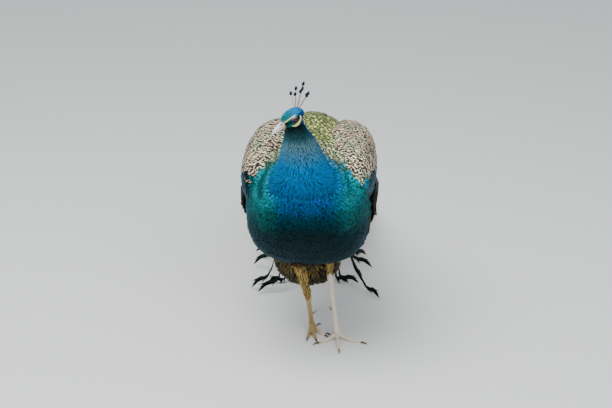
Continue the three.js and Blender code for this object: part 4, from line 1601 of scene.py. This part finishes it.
def make_rump(form, scaled, rng):
    """Mantle scales down the rump, and larger green ones over the train's root and its sides."""
    rump = rump_form()
    left, back, high = measures(rump.middles).T
    steep = rump.face_normals()[:, 2]
    open_above = rump.open_above()
    mantle = Coat()
    cover = (back > 40) & (back < 212) & (high > 395) & (np.abs(left - train_line(back)) < 92)
    length = lambda spots: np.interp(measures(spots)[:, 1], [40, 100, 200], [21, 25, 38]) * MM
    unroll = (1, at(0, 100, 400))
    plant(mantle, rump, cover & (steep > 0.25) & open_above, 5.4 * MM, length, 0.38, 8 * MM, rng, CONTOUR,
          BROAD_LENS, mantle_marking, unroll, train_ways, thickness=0.4 * MM, jitter=0.06)
    finished(mantle.piece("rump_feathers", [scaled]), "train")

    scales = Coat()
    _, y, z = measures(form.middles).T
    above = (back > 204) & (back < SCALES_END) & (steep > 0.15) & open_above
    beside = (y > 190) & (y < SCALES_END) & (form.face_normals()[:, 2] < 0.2) & (z < 400)
    length = lambda spots: np.interp(measures(spots)[:, 1], [200, 340], [33, 44]) * MM
    marking = lambda spots: np.tile(SCALE_GREEN, (len(spots), 1))
    for surface, cover in ((rump, above), (form, beside)):
        plant(scales, surface, cover, 8.5 * MM, length, 0.38, 9 * MM, rng, CONTOUR, BROAD_LENS, marking,
              TRAIN_UNROLL, train_ways, thickness=0.5 * MM, jitter=0.05)
    finished(scales.piece("train_scales", [scaled]), "train")


def make_train_barbs(form, loose, rng):
    """Long loose barbs all over the train behind its scales."""
    strands = Coat()
    behind = measures(form.middles)[:, 1] > 300
    plant(strands, form, behind, 8.6 * MM, 84 * MM, 0.05, 8 * MM, rng, CONTOUR, LENS, train_marking,
          TRAIN_UNROLL, train_ways, thickness=0.6 * MM, jitter=0.16)
    finished(strands.piece("train_barbs", [loose]), "train")


def make_train_eyes(form, eyed, rng):
    """The train's eyed feather ends. Gives their roots and sizes."""
    facing = form.face_normals()[:, 2]
    y = measures(form.middles)[:, 1]
    roots = form.scatter((y > SCALES_END) & (y < TRAIN_END - 78) & (facing > -0.05), EYE_SPACING, rng)
    roots = roots[np.argsort(roots[:, 1])][: EYE_GRID**2]
    count = len(roots)
    size = np.interp(measures(roots)[:, 1], [330, 700, 1100], [52, 70, 78]) * MM
    lift = (9.5 + rng.uniform(0, 1.5, count)) * MM
    spines, ups = laid(form, roots, train_ways(roots), size, EYED, lift, sunk=-5 * MM)
    eyes = Coat()
    eyes.add_vanes(spines, ups, size * 0.38, EYED, BROAD_LENS, train_marking(roots), grid_patch(range(count)),
                   BIG_PATCH, 0.6 * MM, 0.08, rng.random(count))
    finished(eyes.piece("train_eyes", [eyed]), "train")
    return roots, size


def make_train_fringe(form, roots, size, loose, rng):
    """Loose barbs beside each eyed end, and forked feathers round the train's end."""
    fringe = Coat()
    count = len(roots)
    _, ups = form.nearest(roots)
    ways = train_ways(roots)
    for side in (1, -1):
        for share in np.linspace(0, 1, FRINGE_BARBS):
            angle = side * (0.95 - 0.6 * share) + rng.normal(0, 0.06, count)
            base = roots + ways * (size * (0.05 + 0.6 * share))[:, None]
            length = size * (0.85 - 0.3 * share)
            own, lift = laid(form, base, turned(ways, ups, angle), length, DOWNY, 9 * MM, sunk=-4 * MM)
            tints = blend(TRAIN_GREEN, MANTLE_GOLD, rng.random(count) * 0.6)
            fringe.add_vanes(own, lift, np.full(count, 1.7 * MM), DOWNY, LENS, tints,
                             unwrapped(base, *TRAIN_UNROLL), TUFT_PATCH, 0.4 * MM, 0.0, rng.random(count))
    y = measures(form.middles)[:, 1]
    facing = form.face_normals()[:, 2]
    ends = form.scatter((y > TRAIN_END - 130) & (y < TRAIN_END - 60) & (facing > -0.2), 17 * MM, rng)
    count = len(ends)
    _, ups = form.nearest(ends)
    for angle in (0.3, -0.3):
        way = turned(train_ways(ends), ups, np.full(count, angle))
        own, lift = laid(form, ends, way, np.full(count, 62 * MM), CONTOUR, 6 * MM)
        fringe.add_vanes(own, lift, np.full(count, 5 * MM), CONTOUR, LENS, train_marking(ends),
                         unwrapped(ends, *TRAIN_UNROLL), TUFT_PATCH, 0.5 * MM, 0.1, rng.random(count))
    finished(fringe.piece("train_fringe", [loose]), "train")


def make_train_shafts(form, roots, quill, tree):
    """A pale shaft from under the scales to each eyed end, drawn together towards the rump."""
    lines, tapers = [], []
    for root in roots:
        left, back, _ = measures(root)
        steps = max(int((back - SHAFTS_START) / 24), 3)
        along = np.linspace(SHAFTS_START, back, steps)
        squeeze = np.interp(along, *SHAFT_SPREAD)
        off = (left - train_line(back)) * squeeze / squeeze[-1]
        line = np.stack([train_line(along) + off, along, np.interp(along, *SHAFT_HEIGHT)], axis=1)
        spots, normals = form.nearest(line * MM + START)
        line = spots + normals * 5.5 * MM
        line[0] = spots[0]
        line[-1] = root + normals[-1] * 6 * MM
        lines.append(line)
        tapers.append(np.linspace(1.0, 0.55, steps))
    finished(make_shafts("train_shafts", lines, tapers, 0.75 * MM, 5, quill, tree), "train")


def cored(name, nodes, voxel, shrink, material, colour, slot):
    """A smooth core a little inside the named solids, for long feathers to lie on."""
    points, triangles = fused(nodes, voxel, 5)
    normals = Surface(points, triangles).normals
    points = points - normals * shrink
    core = new_mesh(name, points, triangles, [material])
    add_colours(core.data, np.tile(colour, (len(points), 1)))
    finished(core, slot, *nodes)
    return Surface(points, triangles)


WING_OUTSIDE = 190.0  # a distance aside from where the nearest part of a wing is its outer face
# A wing's flight feathers: how many, how wide, how far back the uppermost and the lowest end, and the
# lowest and highest that the wing reaches at distances back.
SECONDARIES = (17, 9.5, 215, 316, (
    (-58, 334, 366), (-40, 308, 400), (10, 292, 412), (70, 288, 414), (140, 300, 408), (220, 322, 396),
    (290, 342, 380), (318, 352, 368),
))
PRIMARIES = (9, 7.5, 270, 350, (
    (44, 279, 299), (80, 262, 318), (150, 268, 330), (230, 290, 346), (300, 316, 352), (352, 332, 350),
))


def flight_spines(form, side, count, near_end, far_end, reach):
    """Spines side by side from a wing's front, the uppermost ending first, and each spot's upward way."""
    down = np.linspace(0, 1, count)
    back, low, high = (np.array(column, float) for column in zip(*reach))
    along = np.array([row[0] for row in LONG] + [1.0])
    y = back[0] + (near_end + (far_end - near_end) * down - back[0])[:, None] * along
    top = np.interp(y, back, high)
    z = top - (0.05 + 0.88 * down)[:, None] * (top - np.interp(y, back, low))
    places = np.stack([np.full(y.shape, side * WING_OUTSIDE), y, z], axis=2).reshape(-1, 3) * MM + START
    spots, normals = form.nearest(places)
    stations = len(along)
    lift = np.tile(np.append(-2.5, np.full(stations - 1, 2.6)), count) - np.repeat(down * 0.8, stations)
    spines = spots + normals * lift[:, None] * MM
    ups = unit(normals + np.array([0, 0, 0.24]))
    return spines.reshape(count, -1, 3), ups.reshape(count, -1, 3)


def make_flight(side, name, feather, under, rng):
    """Dark secondaries and chestnut primaries, each a stack of long feathers."""
    coat = Coat()
    for kind, (count, half, *ends), colour, slot, first_patch in (
        ("secondaries", SECONDARIES, FLIGHT_BLACK, "wing_dark", 0),
        ("primaries", PRIMARIES, CHESTNUT, "wing_chestnut", 2 * EYE_GRID),
    ):
        solid = f"wing_{name}_{kind}"
        # Each core takes its feathers' colour halved, as painted shade under them.
        form = cored(f"{solid}_under", (solid,), 3 * MM, 3.5 * MM, under, colour * 0.5, slot)
        spines, ups = flight_spines(form, side, count, *ends)
        tints = np.tile(colour, (count, 1)) * rng.uniform(0.75, 1.25, count)[:, None]
        patches = grid_patch(first_patch + np.arange(count))
        coat.add_vanes(spines, ups, np.full(count, half * MM), LONG, BROAD_LENS, tints, patches,
                       BIG_PATCH, 0.8 * MM, 0.1, rng.random(count))
    finished(coat.piece(f"wing_{name}_flight", [feather]), "wing_dark")


TAIL_FEATHERS = 18
# The fanned tail at distances back: its half width and its height.
TAIL_BACK = (205, 260, 360, 460, 540, 575)
TAIL_WIDTH = (20, 34, 46, 58, 62, 60)
TAIL_HEIGHT = (351, 321, 259, 192, 140, 118)


def make_tail(feather, rng):
    """Stiff tail feathers under the train, spread a little."""
    coat = Coat()
    back = np.linspace(215, 568, len(LONG) + 1)
    half = np.interp(back, TAIL_BACK, TAIL_WIDTH)
    height = np.interp(back, TAIL_BACK, TAIL_HEIGHT)
    for i in range(TAIL_FEATHERS):
        share = 2 * i / (TAIL_FEATHERS - 1) - 1
        y = back * (1 - 0.06 * share * share)
        line = np.stack([train_line(y) + share * half, y, height - 5 * abs(share) + (i % 2) * 2], axis=1)
        ups = np.tile([0.0, 0.45, 0.9], (1, len(line), 1))
        tint = TAIL_BROWN * rng.uniform(0.8, 1.15)
        coat.add_vanes((line * MM + START)[None], ups, [13.5 * MM], LONG, BROAD_LENS, [tint], grid_patch([i]),
                       BIG_PATCH, 0.9 * MM, 0.1, rng.random(1))
    finished(coat.piece("tail_feathers", [feather]), "tail", "tail")


# Sword feathers of each side: how far back the root is, then the bend and the tip: out, back and up.
SWORDS = {
    "right": [
        (342, (104, 268, 50), (152, 262, 5)),
        (352, (80, 262, 44), (136, 238, 4)),
        (364, (66, 320, 20), (112, 300, 4)),
        (384, (104, 380, 60), (150, 410, 6)),
        (404, (108, 440, 46), (146, 500, 6)),
    ],
    "left": [
        (340, (128, 262, 34), (168, 232, 4)),
        (350, (104, 300, 66), (126, 306, 16)),
        (362, (68, 306, 38), (118, 304, 12)),
        (374, (60, 330, 26), (92, 318, 5)),
        (390, (102, 390, 56), (156, 420, 6)),
        (408, (106, 446, 44), (142, 506, 6)),
    ],
}
SWORD_WIDTHS = (0.5, 0.45, 0.4, 0.42, 0.45, 0.5, 0.6, 0.72, 0.86, 1.0, 0.92, 0.7, 0.4)
SWORD_SHAPE = tuple(zip(np.linspace(0, 0.96, len(SWORD_WIDTHS)), SWORD_WIDTHS))
SWORD_BARBS = 130


def make_swords(side, name, feather, rng):
    """Narrow black-green feathers that hang from under the train, their barbs split along the edges."""
    coat = Coat()
    for index, (root, bend, tip) in enumerate(SWORDS[name]):
        behind = root - 330
        late = np.array(bend) * 0.4 + np.array(tip) * 0.6 + (0, 0, 6)
        controls = np.array([
            (66 + behind * 0.08, root, 304 - behind * 0.68),
            (70 + behind * 0.1, (root + bend[1]) / 2, 170),
            bend, late, tip,
        ])
        controls[:, 0] = side * controls[:, 0] + train_line(controls[:, 1])
        spine = curve(controls * MM + START, len(SWORD_SHAPE) + 1)
        ahead = unit(np.gradient(spine, axis=0))
        facing = smoothstep(0.35, 0.8, np.linspace(0, 1, len(spine)))[:, None]
        ups = (1 - facing) * np.array([side * 1.0, -0.25, 0.0]) + facing * np.array([side * 0.25, -1.0, 0.5])
        ups = unit(ups - ahead * (ups * ahead).sum(axis=1, keepdims=True))
        tint = SWORD_GREEN * rng.uniform(0.8, 1.3)
        coat.add_vanes(spine[None], ups[None], [5.5 * MM], SWORD_SHAPE, LENS, [tint], grid_patch([index]),
                       BIG_PATCH, 0.7 * MM, 0.05, rng.random(1))
        aside = unit(np.cross(ahead, ups))
        for _ in range(SWORD_BARBS):
            step = (len(spine) - 2) * rng.uniform(0.02, 0.84) ** 0.8
            low = int(step)
            base = spine[low] + (spine[low + 1] - spine[low]) * (step - low)
            edge = rng.choice([-1, 1])
            split = aside[low] * edge * rng.uniform(0.1, 0.26)
            way = unit(ahead[low] + split + ups[low] * rng.normal(0, 0.1))
            length = rng.uniform(12, 20)
            patch = grid_patch([index])[0] + 0.02 * rng.normal(0, 1, 2)
            add_barb(coat, base, way, length, ups[low], 0.6, tint, patch, 0.35, rng.random(1))
    finished(coat.piece(f"sword_{name}", [feather]), "sword", f"sword_feathers_{name}")


# ---- Camera, light and floor -----------------------------------------------------------------------


def make_camera():
    """The camera that looks down on the walking bird."""
    azimuth, elevation = VIEW_AZIMUTH, VIEW_ELEVATION
    way = Vector((
        -math.sin(azimuth) * math.cos(elevation),
        math.cos(azimuth) * math.cos(elevation),
        -math.sin(elevation),
    ))
    data = bpy.data.cameras.new("camera")
    data.lens = VIEW_LENS
    data.sensor_width = 36
    data.clip_end = 100
    camera = placed("camera", data)
    camera.location = Vector(at(*VIEW_TARGET)) - way * VIEW_DISTANCE
    camera.rotation_euler = way.to_track_quat("-Z", "Y").to_euler()
    bpy.context.scene.camera = camera


LAMPS_AIM = (0.05, -0.4, 0.35)


def make_light():
    """A pale sky, a broad lamp overhead and a weaker one from the front."""
    world = bpy.data.worlds.new("studio")
    world.use_nodes = True
    background = world.node_tree.nodes["Background"]
    background.inputs[0].default_value = (0.86, 0.93, 1.0, 1.0)
    background.inputs[1].default_value = 0.6
    bpy.context.scene.world = world
    for name, place, size, power in (
        ("overhead", (-0.6, -1.2, 3.2), 2.4, 120),
        ("front", (1.4, -3.4, 2.5), 1.8, 62),
    ):
        data = bpy.data.lights.new(name, "AREA")
        data.size = size
        data.energy = power
        lamp = placed(name, data)
        lamp.location = place
        lamp.rotation_euler = (Vector(LAMPS_AIM) - lamp.location).to_track_quat("-Z", "Y").to_euler()


def make_floor():
    """A plain pale floor."""
    mesh = bpy.data.meshes.new("floor")
    half = 20.0
    corners = [(-half, -half, 0), (half, -half, 0), (half, half, 0), (-half, half, 0)]
    mesh.from_pydata(corners, [], [(0, 1, 2, 3)])
    recipe = Recipe("floor_paint", 0.8)
    recipe.colour((0.82, 0.82, 0.80, 1.0))
    mesh.materials.append(recipe.material)
    floor = placed("floor", mesh)


def main():
    """Builds the stage, the skin, the hard parts and then the plumage from head to tail."""
    rng = np.random.default_rng(SEED)
    make_camera()
    make_light()
    make_floor()
    bare, scaly = bare_skin("bare_skin"), scaly_skin("leg_scales")
    zones = ("neck", "body", "wing", "vent")
    names = [name for zone in zones for name in ZONES[zone]]
    body = Shell(zones, names, BODY_VOXEL, 8, neck_depth, body_form)
    head = Shell(("head", "neck"), ["head", "neck_upper"], HEAD_VOXEL, 5, face_depth, head_form)
    legs = Shell(("thigh", "leg"), [*ZONES["thigh"], *ZONES["leg"]], LEG_VOXEL, 3, leg_depth)
    bare_leg = legs.zone == legs.zones.index("leg")
    ridged = leg_relief(legs.surface.points, legs.surface.normals, bare_leg)
    legs.surface = Surface(ridged, legs.surface.triangles)
    make_skin(body, head, legs, bare, scaly)

    make_bill(bill_finish("bill_horn"))
    wet = eye_ball("eye_wet")
    for side, name in SIDES:
        make_eye(side, name, wet)
    make_lids(bare)
    tree = shaft_tree()
    quill = shaft_horn("quill", "6a6254")
    glossy = plumage("blue_plumage", 0.4, 0.5, Specular_IOR_Level=0.2, Specular_Tint=(0.1, 0.7, 0.9, 1.0),
                     Sheen_Weight=0.05, Sheen_Roughness=0.4, Sheen_Tint=(0.05, 0.6, 0.8, 1.0))
    matt = plumage("dark_plumage", 0.6, 0.1, Specular_IOR_Level=0.12)
    downy = plumage("down", 0.85, 0.0, Specular_IOR_Level=0.15)
    make_crest(quill, matt, tree, rng)
    claw = horn("claw_horn", "57493f", "2c241f", 260.0)
    spur = horn("spur_horn", "a8988a", "6b5a4c", 200.0)
    toes = ("middle", "outer", "inner", "hind")
    softened("claws", [f"claw_{side}_{toe}" for _, side in SIDES for toe in toes], claw, "claw_horn")
    softened("spurs", ["spur_left", "spur_right"], spur, "claw_horn")

    make_head_coat(head, glossy, rng)
    make_neck_coat(body, head, glossy, rng)
    make_body_coats(body, glossy, matt, scaled_feathers("mantle_scales"), rng)
    make_wing_coats(body, barred_feathers("barred_coverts"), glossy, rng)
    make_down(body, legs, downy, rng)

    long_dark = long_feathers("flight_feathers", 0.42, 0.2, 60, "2c2620")
    loose = plumage("train_strands", 0.45, 0.4, barb_count=5)
    train = train_form()
    make_train_core(train, plumage("train_core", 0.6, 0.1))
    make_rump(train, scaled_feathers("rump_scales"), rng)
    make_train_barbs(train, loose, rng)
    roots, size = make_train_eyes(train, eyed_feathers("eyed_feathers"), rng)
    make_train_fringe(train, roots, size, loose, rng)
    make_train_shafts(train, roots, shaft_horn("train_quill", "c8b790"), tree)
    for side, name in SIDES:
        make_flight(side, name, long_dark, matt, rng)
        make_swords(side, name, matt, rng)
    make_tail(long_dark, rng)


main()
